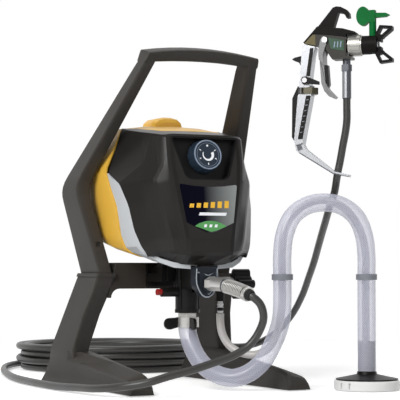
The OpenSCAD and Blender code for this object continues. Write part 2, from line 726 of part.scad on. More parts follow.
// Involute gear tooth: half thickness angle shrinks with the backlash.
pressure_angle = 25;
backlash = 0.25;
function inv_deg(a) = (tan(a) - a * PI / 180) * 180 / PI;
function tooth_half(teeth, r) =
    let (pitch_r = gear_m * teeth / 2)
    let (base_r = pitch_r * cos(pressure_angle))
    let (here = r <= base_r ? 0 : acos(base_r / r))
    90 / teeth - backlash / 2 / pitch_r * 180 / PI + inv_deg(pressure_angle) - inv_deg(here);
module gear_outline(teeth) {
    pitch_r = gear_m * teeth / 2;
    base_r = pitch_r * cos(pressure_angle);
    root_r = pitch_r - 1.2 * gear_m;
    tip_r0 = pitch_r + 0.9 * gear_m;
    start_r = max(base_r, root_r + 0.05);
    radii = [for (s = [0 : 3]) mix(start_r, tip_r0, s / 3)];
    polygon([for (i = [0 : teeth - 1])
        let (mid = i * 360 / teeth)
        each concat(
            [[root_r * cos(mid - tooth_half(teeth, start_r)), root_r * sin(mid - tooth_half(teeth, start_r))]],
            [for (r = radii) [r * cos(mid - tooth_half(teeth, r)), r * sin(mid - tooth_half(teeth, r))]],
            [for (k = [3 : -1 : 0])
                [radii[k] * cos(mid + tooth_half(teeth, radii[k])), radii[k] * sin(mid + tooth_half(teeth, radii[k]))]],
            [[root_r * cos(mid + tooth_half(teeth, start_r)), root_r * sin(mid + tooth_half(teeth, start_r))]])]);
}
gear_w = 10;
gear_rear = frame_front - 1.5;
gear_front = gear_rear - gear_w;

module armature() color("peru") placed()
    translate([0, 0, motor_z]) {
        y_rod(shaft_r, gear_front - 1, bell_rear + 22);
        // laminated core with winding slots
        difference() {
            y_rod(core_r, core_front, core_front + core_l, 96);
            for (a = [15 : 30 : 345])
                rotate([0, a, 0])
                    translate([core_r - 5, core_front - 1, -1.5])
                        cube([8, core_l + 2, 3]);
        }
        y_rod(18, core_front - 5, core_front + 1);
        y_rod(18, core_front + core_l - 1, core_front + core_l + 5);
        y_rod(12, core_front + core_l + 5, core_front + core_l + 17);
        // pinion with a tooth space towards the gear below it
        translate([0, gear_rear, 0])
            rotate([90, 0, 0])
                linear_extrude(gear_w)
                    rotate([0, 0, -90 + 180 / pinion_teeth])
                        gear_outline(pinion_teeth);
        y_rod(6, gear_rear - 1, frame_front - 0.4);
    }

brush_y = core_front + core_l + 11;
module brushes() color("dimgray") placed()
    for (side = [-1, 1])
        translate([side * 12.3, brush_y, motor_z])
            mirror([side < 0 ? 1 : 0, 0, 0]) {
                translate([0, -3.5, -3])
                    cube([10, 7, 6]);
                translate([5, -6, -5.5])
                    cube([motor_r - case_wall - 18.8, 12, 11]);
            }

module end_bell() color("silver") placed() difference() {
    union() {
        translate([0, 0, motor_z])
            y_rod(motor_r, bell_front, bell_rear, 96);
        for (a = [45 : 90 : 315])
            translate([boss_ring * cos(a), 0, motor_z + boss_ring * sin(a)])
                y_rod(9, bell_front, bell_rear, 32);
        translate([0, 0, motor_z])
            y_rod(bearing_r + 3, bell_front - 4, bell_rear);
    }
    translate([0, 0, motor_z]) {
        y_rod(bearing_r + 0.01, bell_rear - bearing_w, bell_rear + 1);
        y_rod(bearing_r - 2, bell_front - 5, bell_rear + 1);
        for (a = [0 : 45 : 315])
            rotate([0, a, 0])
                translate([30, 0, 0])
                    y_rod(6, bell_front - 1, bell_rear + 1, 32);
    }
}

module bearing(at) {
    translate([0, 0, motor_z])
        difference() {
            y_rod(bearing_r, at, at + bearing_w - 0.1);
            y_rod(shaft_r + run_fit, at - 1, at + bearing_w + 1);
        }
}
module bearings() color("lightgray") placed() {
    bearing(frame_front + 0.05);
    bearing(bell_rear - bearing_w + 0.05);
}

fan_front = bell_rear + 3;
fan_l = 12;
fan_r = 40;
module cooling_fan() color("black") placed()
    translate([0, 0, motor_z])
        difference() {
            union() {
                y_rod(9, fan_front, fan_front + fan_l);
                y_rod(fan_r, fan_front + fan_l - 2, fan_front + fan_l, 96);
                for (a = [0 : 36 : 324])
                    rotate([0, a, 0])
                        translate([8, fan_front + 0.5, -1])
                            cube([fan_r - 10, fan_l - 1, 2]);
            }
            y_rod(shaft_r, fan_front - 1, fan_front + fan_l + 1);
        }

module drive_gear() color("silver") placed()
    translate([0, 0, gear_z]) {
        difference() {
            translate([0, gear_rear, 0])
                rotate([90, 0, 0])
                    linear_extrude(gear_w)
                        rotate([0, 0, 90])
                            gear_outline(gear_teeth);
            // lightening holes
            for (a = [30 : 60 : 330])
                rotate([0, a, 0])
                    translate([22, 0, 0])
                        y_rod(6, gear_front - 1, gear_rear + 1, 32);
        }
        y_rod(gear_shaft_r, gear_front - 1, frame_rear - 0.5);
        y_rod(12, gear_front - 1.5, gear_front + 1);
        translate([throw, 0, 0])
            y_rod(pin_r, gear_front - 15, gear_front);
    }

// ---------- pump ----------

yoke_t = 11;
yoke_rear = gear_front - 2.6;
window_x = throw + pin_r + 0.5;
window_z = 2 * throw + pin_r + 0.5;
yoke_rim = 6;
block_low = 139;
block_high = 169;
packing_h = 12;
cylinder_top = 182;
piston_z = 128;
module at_pump() translate([0, -pump_y, 0]) children();

module piston() color("gray") placed() {
    translate([0, yoke_rear, gear_z])
        difference() {
            translate([-window_x - yoke_rim, -yoke_t, -window_z - yoke_rim])
                cube([2 * (window_x + yoke_rim), yoke_t, 2 * (window_z + yoke_rim)]);
            translate([-window_x, -yoke_t - 1, -window_z])
                cube([2 * window_x, yoke_t + 2, 2 * window_z]);
        }
    at_pump() {
        translate([0, 0, piston_z])
            cylinder(r = rod_r, h = gear_z - window_z - 3 - piston_z, $fn = round_fn);
        translate([0, 0, piston_z - 6])
            cylinder(r = piston_r, h = 9, $fn = round_fn);
    }
}

module packing_nut() color("goldenrod") placed()
    at_pump()
        difference() {
            union() {
                translate([0, 0, cylinder_top + 0.05])
                    cylinder(r = 13, h = 6, $fn = 6);
                translate([0, 0, cylinder_top - packing_h])
                    cylinder(r = piston_r + 1.4, h = packing_h + 1, $fn = round_fn);
            }
            translate([0, 0, 100])
                cylinder(r = rod_r + run_fit, h = 100, $fn = round_fn);
        }

// Cast block: a shield-shaped front, a neck, and the cylinder of the pump.
shield_y = -127;
module pump_block() color("lightslategray") placed() difference() {
    union() {
        // shield with a pointed lower edge
        translate([0, shield_y + 18, 0])
            rotate([90, 0, 0])
                linear_extrude(18)
                    polygon([[-16, block_high], [-16, 146], [-14, 140], [-3, 127.5], [3, 127.5], [14, 140],
                        [16, 146], [16, block_high]]);
        // raised middle of the shield
        translate([0, shield_y + 0.5, 0])
            rotate([90, 0, 0])
                linear_extrude(4.5)
                    polygon([[-12, 162], [-12, 147], [-10, 142], [-2, 132.5], [2, 132.5], [10, 142], [12, 147],
                        [12, 162], [0, 157]]);
        translate([-13, shield_y + 17, block_low])
            cube([26, frame_front - shield_y - 17 - 0.05, block_high - block_low]);
        at_pump()
            translate([0, 0, block_low])
                cylinder(r = 13, h = cylinder_top - block_low, $fn = round_fn);
        // flange against the gear frame
        translate([-24, frame_front - 8, block_low + 10])
            cube([48, 8 - 0.05, 22]);
    }
    at_pump() {
        translate([0, 0, block_low - 1])
            cylinder(r = piston_r + run_fit, h = cylinder_top, $fn = round_fn);
        translate([0, 0, cylinder_top - packing_h - 0.1])
            cylinder(r = piston_r + 1.45, h = packing_h + 2, $fn = round_fn);
    }
    // outlet way
    translate([0, 0, outlet_z])
        y_rod(3, shield_y - 10, -pump_y - piston_r, 32);
}

// Plastic shroud round the pump's lower end, with its ribs and flange.
shroud_r = 15.5;
shroud_low = 106;
module pump_shroud() color("black") placed() difference() {
    union() {
        at_pump() {
            translate([0, 0, shroud_low])
                cylinder(r = shroud_r, h = 167 - shroud_low, $fn = round_fn);
            translate([0, 0, shroud_low - 1])
                cylinder(r = 17.5, h = 5, $fn = round_fn);
            for (a = [-30, 30, 150, 210, 270])
                rotate([0, 0, a + 180])
                    translate([shroud_r - 2, -1.5, shroud_low + 2])
                        cube([3.2, 2.4, 44]);
            // side boss of the pusher
            translate([0, 0, pusher_z])
                rotate([0, -90, 0])
                    cylinder(r = 6.6, h = 40, $fn = round_fn);
        }
    }
    at_pump() {
        translate([0, 0, block_low - seat])
            cylinder(r = 13 + seat, h = 60, $fn = round_fn);
        translate([0, 0, shroud_low - 2])
            cylinder(r = 11, h = 60, $fn = round_fn);
        translate([-14, -40, block_low - seat])
            cube([28, 80, 60]);
        translate([0, prime_y + pump_y, prime_z])
            rotate([0, 90, 0])
                cylinder(r = 11.6, h = 60, $fn = 48);
        translate([0, 0, pusher_z])
            rotate([0, -90, 0]) {
                cylinder(r = 3 + run_fit, h = 60, $fn = round_fn);
                translate([0, 0, 27])
                    cylinder(r = 4.5, h = 20, $fn = round_fn);
            }
    }
}

// Inlet valve: seat, ball cage and nut under the pump.
module inlet_valve() color("silver") placed()
    at_pump()
        difference() {
            union() {
                translate([0, 0, shroud_low - 1 - 6])
                    cylinder(r = 14, h = 6 - 0.05, $fn = 6);
                translate([0, 0, shroud_low - 2])
                    cylinder(r = 10.9, h = 11, $fn = round_fn);
            }
            translate([0, 0, 90])
                cylinder(r = 5, h = 40, $fn = round_fn);
        }

pusher_z = 134;
pusher_out = 47;
module inlet_pusher() color("orangered") placed()
    at_pump()
        translate([0, 0, pusher_z])
            rotate([0, -90, 0]) {
                translate([0, 0, 14])
                    cylinder(r = 3, h = 30, $fn = round_fn);
                translate([0, 0, 33])
                    cylinder(r = 4.4, h = pusher_out - 33, $fn = round_fn);
            }

// Prime valve on the right side: body, knob and the barb of the return tube.
prime_y = -80;
prime_z = 145;
prime_body_x = 62;
module prime_valve() color("dimgray") placed()
    translate([0, prime_y, prime_z])
        rotate([0, 90, 0])
            difference() {
                union() {
                    translate([0, 0, 13.05])
                        cylinder(r = 7, h = 5, $fn = 48);
                    translate([0, 0, 15.5])
                        cylinder(r = 11, h = 18, $fn = 6);
                    translate([0, 0, 30])
                        cylinder(r = 10, h = prime_body_x - 30, $fn = round_fn);
                }
                translate([0, 0, 40])
                    cylinder(r = 4 + run_fit, h = 40, $fn = round_fn);
            }
module prime_knob() color("black") placed()
    translate([0, prime_y, prime_z])
        rotate([0, 90, 0]) {
            translate([0, 0, 41])
                cylinder(r = 4, h = 22, $fn = round_fn);
            translate([0, 0, prime_body_x + 0.5])
                difference() {
                    union() {
                        cylinder(r = knob_r * 0.62, h = 26, $fn = round_fn);
                        for (a = [0 : 90 : 270])
                            rotate([0, 0, a])
                                hull() {
                                    cylinder(r = knob_r * 0.3, h = 26, $fn = 32);
                                    translate([knob_r * 0.72, 0, 2])
                                        cylinder(r = knob_r * 0.28, h = 24, $fn = 32);
                                }
                    }
                    translate([0, 0, 23])
                        cylinder(r = knob_r * 0.4, h = 5, $fn = round_fn);
                }
        }
barb_x = 44;
barb_low = 104;
module return_barb() color("lightgray") placed()
    translate([barb_x, prime_y, 0]) {
        translate([0, 0, 121])
            cylinder(r = 6, h = prime_z - 10 - 121 - 0.05, $fn = 6);
        for (z = [barb_low : 4.5 : 117])
            translate([0, 0, z])
                cylinder(r1 = 3.6, r2 = 4.8, h = 4.5, $fn = 48);
        translate([0, 0, barb_low])
            cylinder(r = 3.5, h = 18, $fn = 48);
    }

clamp_low = 85;
clamp_r = suction_d / 2 + 0.4;
module hose_clamp() color("gray") placed() {
    at_pump()
        translate([0, 0, clamp_low])
            difference() {
                cylinder(r = clamp_r + 3.2, h = 14, $fn = round_fn);
                translate([0, 0, -1])
                    cylinder(r = clamp_r, h = 16, $fn = round_fn);
            }
    // two thumb ears of the spring band
    for (a = [185, 262])
        at_pump()
            translate([0, 0, clamp_low + 7])
                rotate([0, 0, a])
                    translate([clamp_r + 1, 2, 0])
                        rotate([90, 0, 0])
                            linear_extrude(4)
                                hull() {
                                    translate([1, 0])
                                        square([2, 13], center = true);
                                    translate([15, -2])
                                        circle(r = 8, $fn = 32);
                                }
}

// ---------- hoses ----------

// Place of the gun's own origin and the way its nozzle points.
gun_at = [177, -192, 409];
gun_yaw = -44;
function gun_world(p) = concat([gun_at[0], gun_at[1]] + turned(p, gun_yaw), gun_at[2] + p[2]);

outlet_z = 146;
outlet_at = [0, shield_y - 4, outlet_z];
// Arched axis of the outlet: a place and a direction at the distance t.
function outlet_axis(t) = outlet_at + [0.16 * t, -0.98 * t, -0.0016 * t * t];
function outlet_way(t) = unit([0.16, -0.98, -0.0032 * t]);
module along_outlet(t) {
    way = outlet_way(t);
    translate(outlet_axis(t))
        rotate([0, 0, atan2(way[1], way[0])])
            rotate([0, 90 - asin(way[2]), 0])
                children();
}
nut_end = 15;
sleeve_end = 40;
spring_end = 88;
guard_r = 10;
guard_wire = 1.3;

module outlet_fitting() color("silver") placed() {
    along_outlet(1.5)
        cylinder(r = 6, h = 8, $fn = 48);
    along_outlet(2.8)
        cylinder(r = 10, h = nut_end - 2.8, $fn = 6);
    along_outlet(nut_end)
        cylinder(r = 9.1, h = sleeve_end - nut_end, $fn = 48);
}

// Guard spring: one unbroken wire, with a ring at its end.
module hose_spring() color("lightgray") placed() {
    steps = guard_coils * 8;
    pitch = (spring_end - sleeve_end - 2 * guard_wire - 0.4) / guard_coils;
    wire = [for (i = [0 : steps])
        let (a = i * 45, t = sleeve_end + 0.3 + guard_wire + pitch * i / 8)
        let (u = unit(cross(outlet_way(t), [0, 0, 1])), v = cross(u, outlet_way(t)))
        outlet_axis(t) + (u * cos(a) + v * sin(a)) * (guard_r - guard_wire)];
    echo(spring_self_gap = pitch - 2 * guard_wire);
    tube(wire, guard_wire, 6);
    // end ring round the hose
    along_outlet(spring_end - 1)
        difference() {
            cylinder(r = guard_r, h = 6, $fn = 48);
            translate([0, 0, -1])
                cylinder(r = hose_d / 2 + 0.5, h = 8, $fn = 48);
        }
}

// Points of the hose from the pump to the coil.
hose_front_points = [outlet_axis(sleeve_end + 0.6), outlet_axis(54), outlet_axis(68), outlet_axis(82), outlet_axis(97),
    [25, -234, 116], [30, -234, 97], [18, -226, 76], [-12, -220, 55], [-62, -212, 36], [-93, -209, 27],
    [-122, -204, 20], [-150, -183, 14], [-167, -145, 10], [-175, -90, 8], [-180, -30, 6], [-182, 30, 6],
    [-180, 90, 6], [-174, 150, 6], [-163, 210, 6], [-148, 270, 6], [-131, 330, 6], [-110, 390, 6],
    [-84, 450, 6], [-48, 505, 6], [-2, 544, 6]];
// Points of the hose from the coil to the gun.
hose_gun_points = [[254, 350, 39], [258, 315, 37], [271, 265, 40], [284, 205, 60], [286, 150, 92],
    [275, 95, 125], [258, 45, 153], [242, 0, 178], [228, -35, 197], [214, -70, 216], [200, -105, 234],
    [187, -138, 252], [177, -170, 274], [171.7, -187, 298.5], [174, -189, 312.5], [177.4, -192.4, 338],
    [180, -194.8, 356], [181.3, -196.2, 372]];

// Coil: loops that wind in and out again, in four layers.
coil_at = [90, 409];
coil_layers = 4;
coil_pitch = hose_d + 1;
layer_pitch = hose_d + 0.5;
coil_start = 100;
coil_tail = 100 / 360;
coil_total = coil_layers * coil_turns + coil_tail;
function coil_radius(turn) =
    let (phase = turn % (2 * coil_turns))
    turn > coil_layers * coil_turns ? coil_r + coil_pitch * phase :
    coil_r - coil_pitch * (phase < coil_turns ? phase : 2 * coil_turns - phase);
function coil_height(turn) =
    let (layer = round(turn / coil_turns))
    let (off = turn - layer * coil_turns)
    layer < 1 || layer >= coil_layers ?
        hose_d / 2 + 0.5 + layer_pitch * (layer < 1 ? 0 : coil_layers - 1) :
        hose_d / 2 + 0.5 + layer_pitch * (layer - 1 + max(0, min(1, off * 2 + 0.5)));
function coil_point(turn) = [
    coil_at[0] + coil_radius(turn) * cos(coil_start - 360 * turn),
    coil_at[1] + coil_radius(turn) * sin(coil_start - 360 * turn),
    coil_height(turn)];
coil_rings = 24;
coil_path = [for (i = [0 : round(coil_total * coil_rings)]) coil_point(i / coil_rings)];
coil_first = coil_path[0];
coil_last = coil_path[len(coil_path) - 1];

// Smallest distance between two stretches of the coil that are more than half a loop apart, less the hose.
coil_gap = min([for (i = [0 : 3 : len(coil_path) - 13], j = [i + 12 : 1 : len(coil_path) - 1])
    norm(coil_path[i] - coil_path[j])]) - hose_d;

gun_inlet_low = gun_world([6, 0, -8]);

module hose_front() color("dimgray") placed()
    tube(concat(hose_front_points, [coil_first - unit(coil_path[1] - coil_first) * 20, coil_first]), hose_d / 2, 10);
module hose_coil() color("dimgray") placed() {
    echo(coil_self_gap = coil_gap);
    tube(coil_path, hose_d / 2, 6);
}
module hose_to_gun() color("dimgray") placed()
    tube(concat([coil_last, coil_last + unit(coil_last - coil_path[len(coil_path) - 2]) * 14], hose_gun_points,
        [gun_inlet_low - [0, 0, 14], gun_inlet_low]), hose_d / 2, 10);

// Points of the suction tube, from the pump to the strainer.
suction_points = [[0, -65, 99], [0, -65, 83], [1, -71, 67], [4, -86, 46], [12, -107, 28], [22, -124, 20],
    [34, -138, 17.5], [48, -148, 22], [66, -160, 38], [80, -171, 68], [86, -180, 97], [87, -182, 125], [87, -182, 155],
    [87, -182, 185], [90, -183, 212], [101, -185, 237], [121, -188, 252], [147, -193, 257], [173, -198, 252],
    [193, -201, 237], [204, -203, 212], [207, -204, 185], [207, -204, 155], [207, -204, 110], [207, -204, 66],
    [207, -204, 26]];
// Points of the return tube, from its barb to the strainer.
return_points = [[44, -80, 104], [44, -80, 92], [46, -82, 76], [53, -89, 60], [64, -101, 50], [80, -114, 47],
    [93, -130, 56], [98, -146, 78], [97, -161, 108], [96, -165, 155], [96, -165, 190], [101, -166, 222],
    [119, -168, 247], [152, -173, 261], [184, -179, 252], [208, -185, 222], [216, -187, 190], [216, -187, 155],
    [216, -187, 90], [216, -187, 30]];

module suction_tube() color("lavender") placed()
    tube(suction_points, suction_d / 2, 12);
module return_tube() color("whitesmoke") placed()
    tube(return_points, return_d / 2, 8);

// Clips that hold the return tube to the suction tube on both upright stretches.
clip_z = 155;
clip_h = 8;
clip_wall = 2;
module tube_clip(a, b) {
    translate([0, 0, clip_z - clip_h / 2])
        difference() {
            union() {
                translate([a[0], a[1], 0])
                    cylinder(r = suction_d / 2 + clip_wall, h = clip_h, $fn = 48);
                translate([b[0], b[1], 0])
                    cylinder(r = return_d / 2 + clip_wall, h = clip_h, $fn = 48);
            }
            translate([a[0], a[1], -1])
                cylinder(r = suction_d / 2 + 0.2, h = clip_h + 2, $fn = 48);
            translate([b[0], b[1], -1])
                cylinder(r = return_d / 2 + 0.2, h = clip_h + 2, $fn = 48);
        }
}
module tube_clips() color("gray") placed() {
    tube_clip([87, -182], [96, -165]);
    tube_clip([207, -204], [216, -187]);
}

// Strainer that stands in the paint: a dark cap over a slotted disc.
strainer_at = [207, -204];
strainer_r = 45;
module strainer_cap() color("dimgray") placed()
    translate([strainer_at[0], strainer_at[1], 0]) {
        rotate_extrude($fn = 96)
            polygon([[0, 14.2], [strainer_r - 3, 14.2], [strainer_r - 2, 16], [30, 18.5], [14, 22], [13, 25.8],
                [0, 25.8]]);
        translate([9, 17, 15])
            cylinder(r = 6.5, h = 14.8, $fn = 48);
    }
module strainer_base() color("gainsboro") placed()
    translate([strainer_at[0], strainer_at[1], 0])
        difference() {
            rotate_extrude($fn = 96)
                polygon([[0, 4], [strainer_r - 8, 4], [strainer_r - 4, 0.5], [strainer_r - 1, 0.5],
                    [strainer_r, 2], [strainer_r, 12], [strainer_r - 1.5, 14], [0, 14]]);
            for (a = [188, 207])
                rotate([0, 0, a])
                    translate([strainer_r - 3, -1.6, 3])
                        cube([6, 3.2, 8]);
        }

// ---------- spray gun: X along the nozzle, Z up, Y across ----------

module at_gun() translate(gun_at) rotate([0, 0, gun_yaw]) children();

// Flat outline in the gun's own plane, given a thickness.
module gun_plate(outline, t) {
    translate([0, t / 2, 0])
        rotate([90, 0, 0])
            linear_extrude(t)
                polygon(outline);
}
module gun_x_rod(r, from, to, fn = 64) {
    translate([from, 0, axis_z])
        rotate([0, 90, 0])
            cylinder(r = r, h = to - from, $fn = fn);
}
axis_z = 65;
neck_r = 9;
pivot = [-22, 73];
needle_r = 2;
module gun_body() color("darkkhaki") placed() at_gun()
    difference() {
        union() {
            gun_plate([[-52, 69.4], [-39.7, 82], [-23, 80.6], [7.5, 76.2], [7.5, 49.5], [15, 49.5], [15, 46],
                [-12, 46], [-15.5, 51], [-24, 65], [-33.5, 65.5]], gun_t);
            gun_x_rod(neck_r, 6, 36);
        }
        gun_x_rod(needle_r + run_fit, -37, 34);
        translate([pivot[0], 0, pivot[1]])
            y_rod(2.52, -20, 20, 48);
    }

module gun_hook() color("dimgray") placed() at_gun() {
    // top cover of the body
    gun_plate([[-53, 70.6], [-33, 92.5], [-12, 90], [3, 88.3], [20, 83.2], [21.4, 80.6], [8, 80.2],
        [7.2, 76.7], [-23, 81], [-40, 82.4]], gun_t + 2);
    // hanging hook
    gun_plate([[-40.5, 84], [-12, 118.5], [-7, 120], [-1, 119.2], [7, 115], [10.5, 110.5], [11.5, 104],
        [7.3, 103.2], [5.5, 107], [2, 110.3], [-4.5, 111.5], [-12, 88]], 13);
}

module gun_handle() color("silver") placed() at_gun()
    difference() {
        union() {
            gun_plate(soft_ring([[-53.1, 68.4], [-56, 52.5], [-58.1, 24.8], [-59.7, 8.6], [-44.8, 8.6],
                [-43.5, 24.8], [-39.9, 52.4], [-36.6, 64.8]], 1), 20);
            // tube below the nut, which holds the filter
            gun_plate(soft_ring([[-61.1, -1], [-62.5, -16.5], [-66.8, -66], [-65, -71], [-55, -69],
                [-47.6, -30.4], [-42, -1]], 1), 20);
            translate([nut_x, 0, -3])
                cylinder(r = 7, h = 14, $fn = 48);
            // bottom bracket and flat strip that guards the trigger hand
            gun_plate([[-66.5, -69], [-55, -68], [-51.5, -77], [-60.5, -82.5], [-64.5, -79]], 14);
            gun_plate([[-61, -79], [-52, -74.7], [-51, -76.7], [-11, -108.6], [10, -113.5], [10, -115.5],
                [-12, -110.8], [-60, -81.1]], 15);
        }
        // eye for the hose
        translate(eye_at)
            cylinder(r = hose_d / 2 + 1.5, h = 30, center = true, $fn = 48);
        translate([lock_at[0], 0, lock_at[1]])
            y_rod(2.02, -30, -4, 48);
    }
eye_at = [-7.3, 0, -111];
nut_x = -46.8;

module handle_nut() color("darkkhaki") placed() at_gun()
    translate([nut_x, 0, -0.9])
        difference() {
            cylinder(r = 12.4, h = 9.4, $fn = 6);
            translate([0, 0, -1])
                cylinder(r = 7.05, h = 12, $fn = 48);
        }

// Black grip pieces: rear pad, spur and side inlays.
module grip_pads() color("black") placed() at_gun() {
    gun_plate([[-61.5, 11], [-69.7, -6], [-70.4, -60], [-67.2, -65.5], [-62.9, -16.5], [-61.5, -1]], 17);
    gun_plate([[-70.2, 48.8], [-66.2, 51], [-56.3, 53], [-57.4, 38.5], [-60.2, 44], [-68.2, 47]], 15);
    for (side = [-1, 1]) {
        translate([0, side * 10.65, 0])
            gun_plate([[-43.5, 63], [-38.6, 63], [-43.8, 24], [-49, 24]], 1.1);
        translate([0, side * 10.65, 0])
            gun_plate([[-49.2, -3], [-42.8, -3], [-54.6, -63], [-61.2, -63]], 1.1);
    }
}

trigger_gap = 0.4;
module trigger() color("gray") placed() at_gun()
    difference() {
        union() {
            // cheeks either side of the body
            for (side = [-1, 1])
                translate([0, side * (gun_t / 2 + trigger_gap + 1), 0])
                    gun_plate([[-28, 74], [-25, 78], [-20, 77.5], [-17.5, 73], [-22, 62], [-25.5, 50], [-31, 50], [-31, 60]],
                        2);
            // bridge between the cheeks and the arm
            gun_plate([[-31, 58], [-25, 60], [-24.5, 40], [-30.5, 46]], gun_t + 2 * trigger_gap + 4);
            gun_plate([[-31, 52], [-25.3, 52], [-24.5, 40], [-22.6, 15], [-18, 5.5], [-7.5, -5.5], [-10.5, -8],
                [-18, -4.5], [-24.5, 3], [-28.5, 14], [-30.5, 40]], 13);
        }
        translate([pivot[0], 0, pivot[1]])
            y_rod(2.5 + run_fit, -30, 30, 48);
    }
module trigger_pad() color("black") placed() at_gun()
    gun_plate([[-24.2, 39], [-19.5, 39], [-17.5, 12], [-19, 8.5], [-22, 15]], 11);

lock_at = [-50.5, 18];
module gun_pins() color("silver") placed() at_gun() {
    translate([pivot[0], 0, pivot[1]]) {
        y_rod(2.5, -gun_t / 2 - 3.6, gun_t / 2 + 3.6, 48);
        for (side = [-1, 1])
            translate([0, side * (gun_t / 2 + 3.6), 0])
                y_rod(4, -0.8, 0.8, 48);
    }
    translate([lock_at[0], 0, lock_at[1]]) {
        y_rod(2, -14.6, -4.5, 48);
        y_rod(3.5, -15.6, -14.4, 48);
    }
}
module trigger_lock() color("black") placed() at_gun()
    difference() {
        translate([0, -12.8, 0])
            gun_plate([[-56, 19], [-53.5, 23], [-48, 23.5], [-29.5, 15.5], [-29.5, 11], [-46, 13],
                [-53.5, 13]], 2.6);
        translate([lock_at[0], 0, lock_at[1]])
            y_rod(2 + run_fit, -30, 0, 48);
    }

module needle() color("silver") placed() at_gun()
    gun_x_rod(needle_r, -34, 31, 48);

module collar_nut() color("silver") placed() at_gun()
    difference() {
        union() {
            gun_x_rod(collar_r, 10.5, 27, 96);
            gun_x_rod(collar_r - 1.2, 26, 29, 96);
        }
        gun_x_rod(neck_r + 0.1, 0, 40);
        // flutes
        for (a = [0 : 30 : 330])
            translate([9, 0, axis_z])
                rotate([a, 0, 0])
                    translate([4, -1.4, collar_r - 0.9])
                        cube([14, 2.8, 5]);
    }

guard_prong_t = 13;
tip_x = 42.8;
module prong() {
    difference() {
        gun_plate([[46, 72], [48, 80], [53.5, 91.3], [71, 89.5], [71, 84.5], [58.5, 74.5], [55, 68]], guard_prong_t);
        gun_plate([[51.8, 79.5], [55.8, 87.6], [66.5, 86.5], [56.5, 78]], guard_prong_t + 2);
    }
}
module tip_guard() color("black") placed() at_gun()
    difference() {
        union() {
            gun_x_rod(13, 29.4, 50, 96);
            prong();
            translate([0, 0, 2 * axis_z])
                mirror([0, 0, 1])
                    prong();
        }
        gun_x_rod(neck_r + run_fit, 20, 36.4);
        translate([tip_x, 0, 20])
            cylinder(r = tip_r + run_fit, h = 90, $fn = round_fn);
        // spray opening
        translate([tip_x, 0, axis_z])
            rotate([0, 90, 0])
                cylinder(r = 4, h = 40, $fn = 48);
        translate([56, -20, axis_z - 8])
            cube([30, 40, 16]);
    }
tip_low = 54;
module spray_tip() color("green") placed() at_gun()
    translate([tip_x, 0, 0])
        difference() {
            union() {
                translate([0, 0, tip_low])
                    cylinder(r = tip_r, h = 100 - tip_low, $fn = round_fn);
                translate([-7, -5, 96])
                    cube([11, 10, 16.8]);
                translate([-13, 0, 105])
                    rotate([90, 0, 0])
                        scale([0.77, 1.1, 1])
                            cylinder(r = tip_knob_r, h = 9, center = true, $fn = 64);
                // arrow that points the way the paint leaves
                translate([3, 4, 102.2])
                    rotate([90, 0, 0])
                        linear_extrude(8)
                            polygon([[0, 0], [16, 0.8], [21, 3.4], [16, 6], [0, 6.8]]);
            }
            // spray hole through the barrel
            translate([0, 0, axis_z])
                rotate([0, 90, 0])
                    cylinder(r = 1.2, h = 30, center = true, $fn = 32);
        }

module gun_inlet() color("silver") placed() at_gun()
    translate([6, 0, 0]) {
        translate([0, 0, 33])
            cylinder(r = 5.5, h = 13 - 0.05, $fn = 48);
        translate([0, 0, 30])
            cylinder(r = 7.4, h = 9, $fn = 6);
        translate([0, 0, -8])
            cylinder(r = 6.2, h = 39, $fn = 48);
    }

// Hexagon-headed bolts: crossbar to legs and gear frame to crossbar.
module frame_bolts() color("silver") placed() {
    for (side = [-1, 1], z = [beam_low + 10, beam_high - 9])
        translate([side * 70, beam_rear + 0.05, z])
            rotate([-90, 0, 0])
                cylinder(r = 5, h = 3.15, $fn = 6);
    for (x = [-12, 12])
        translate([x, beam_front - 6 - 4.2, beam_high - 9])
            rotate([-90, 0, 0]) {
                cylinder(r = 5.5, h = 4, $fn = 6);
                cylinder(r = 3, h = 10, $fn = 32);
            }
}

handle_frame();
left_leg();
right_leg();
crossbar();
foot_pads();
frame_bolts();
front_cover();
mid_band();
rear_cover();
control_panel();
pressure_dial();
label_plate();
pressure_control();
control_board();
switch_body();
switch_rocker();
cord_gland();
gear_frame();
motor_case();
stator();
armature();
brushes();
end_bell();
bearings();
cooling_fan();
drive_gear();
piston();
packing_nut();
pump_block();
pump_shroud();
inlet_valve();
inlet_pusher();
prime_valve();
prime_knob();
return_barb();
hose_clamp();
outlet_fitting();
hose_spring();
hose_front();
hose_coil();
hose_to_gun();
suction_tube();
return_tube();
tube_clips();
strainer_cap();
strainer_base();
gun_body();
gun_hook();
gun_handle();
handle_nut();
grip_pads();
trigger();
trigger_pad();
gun_pins();
trigger_lock();
needle();
collar_nut();
tip_guard();
spray_tip();
gun_inlet();
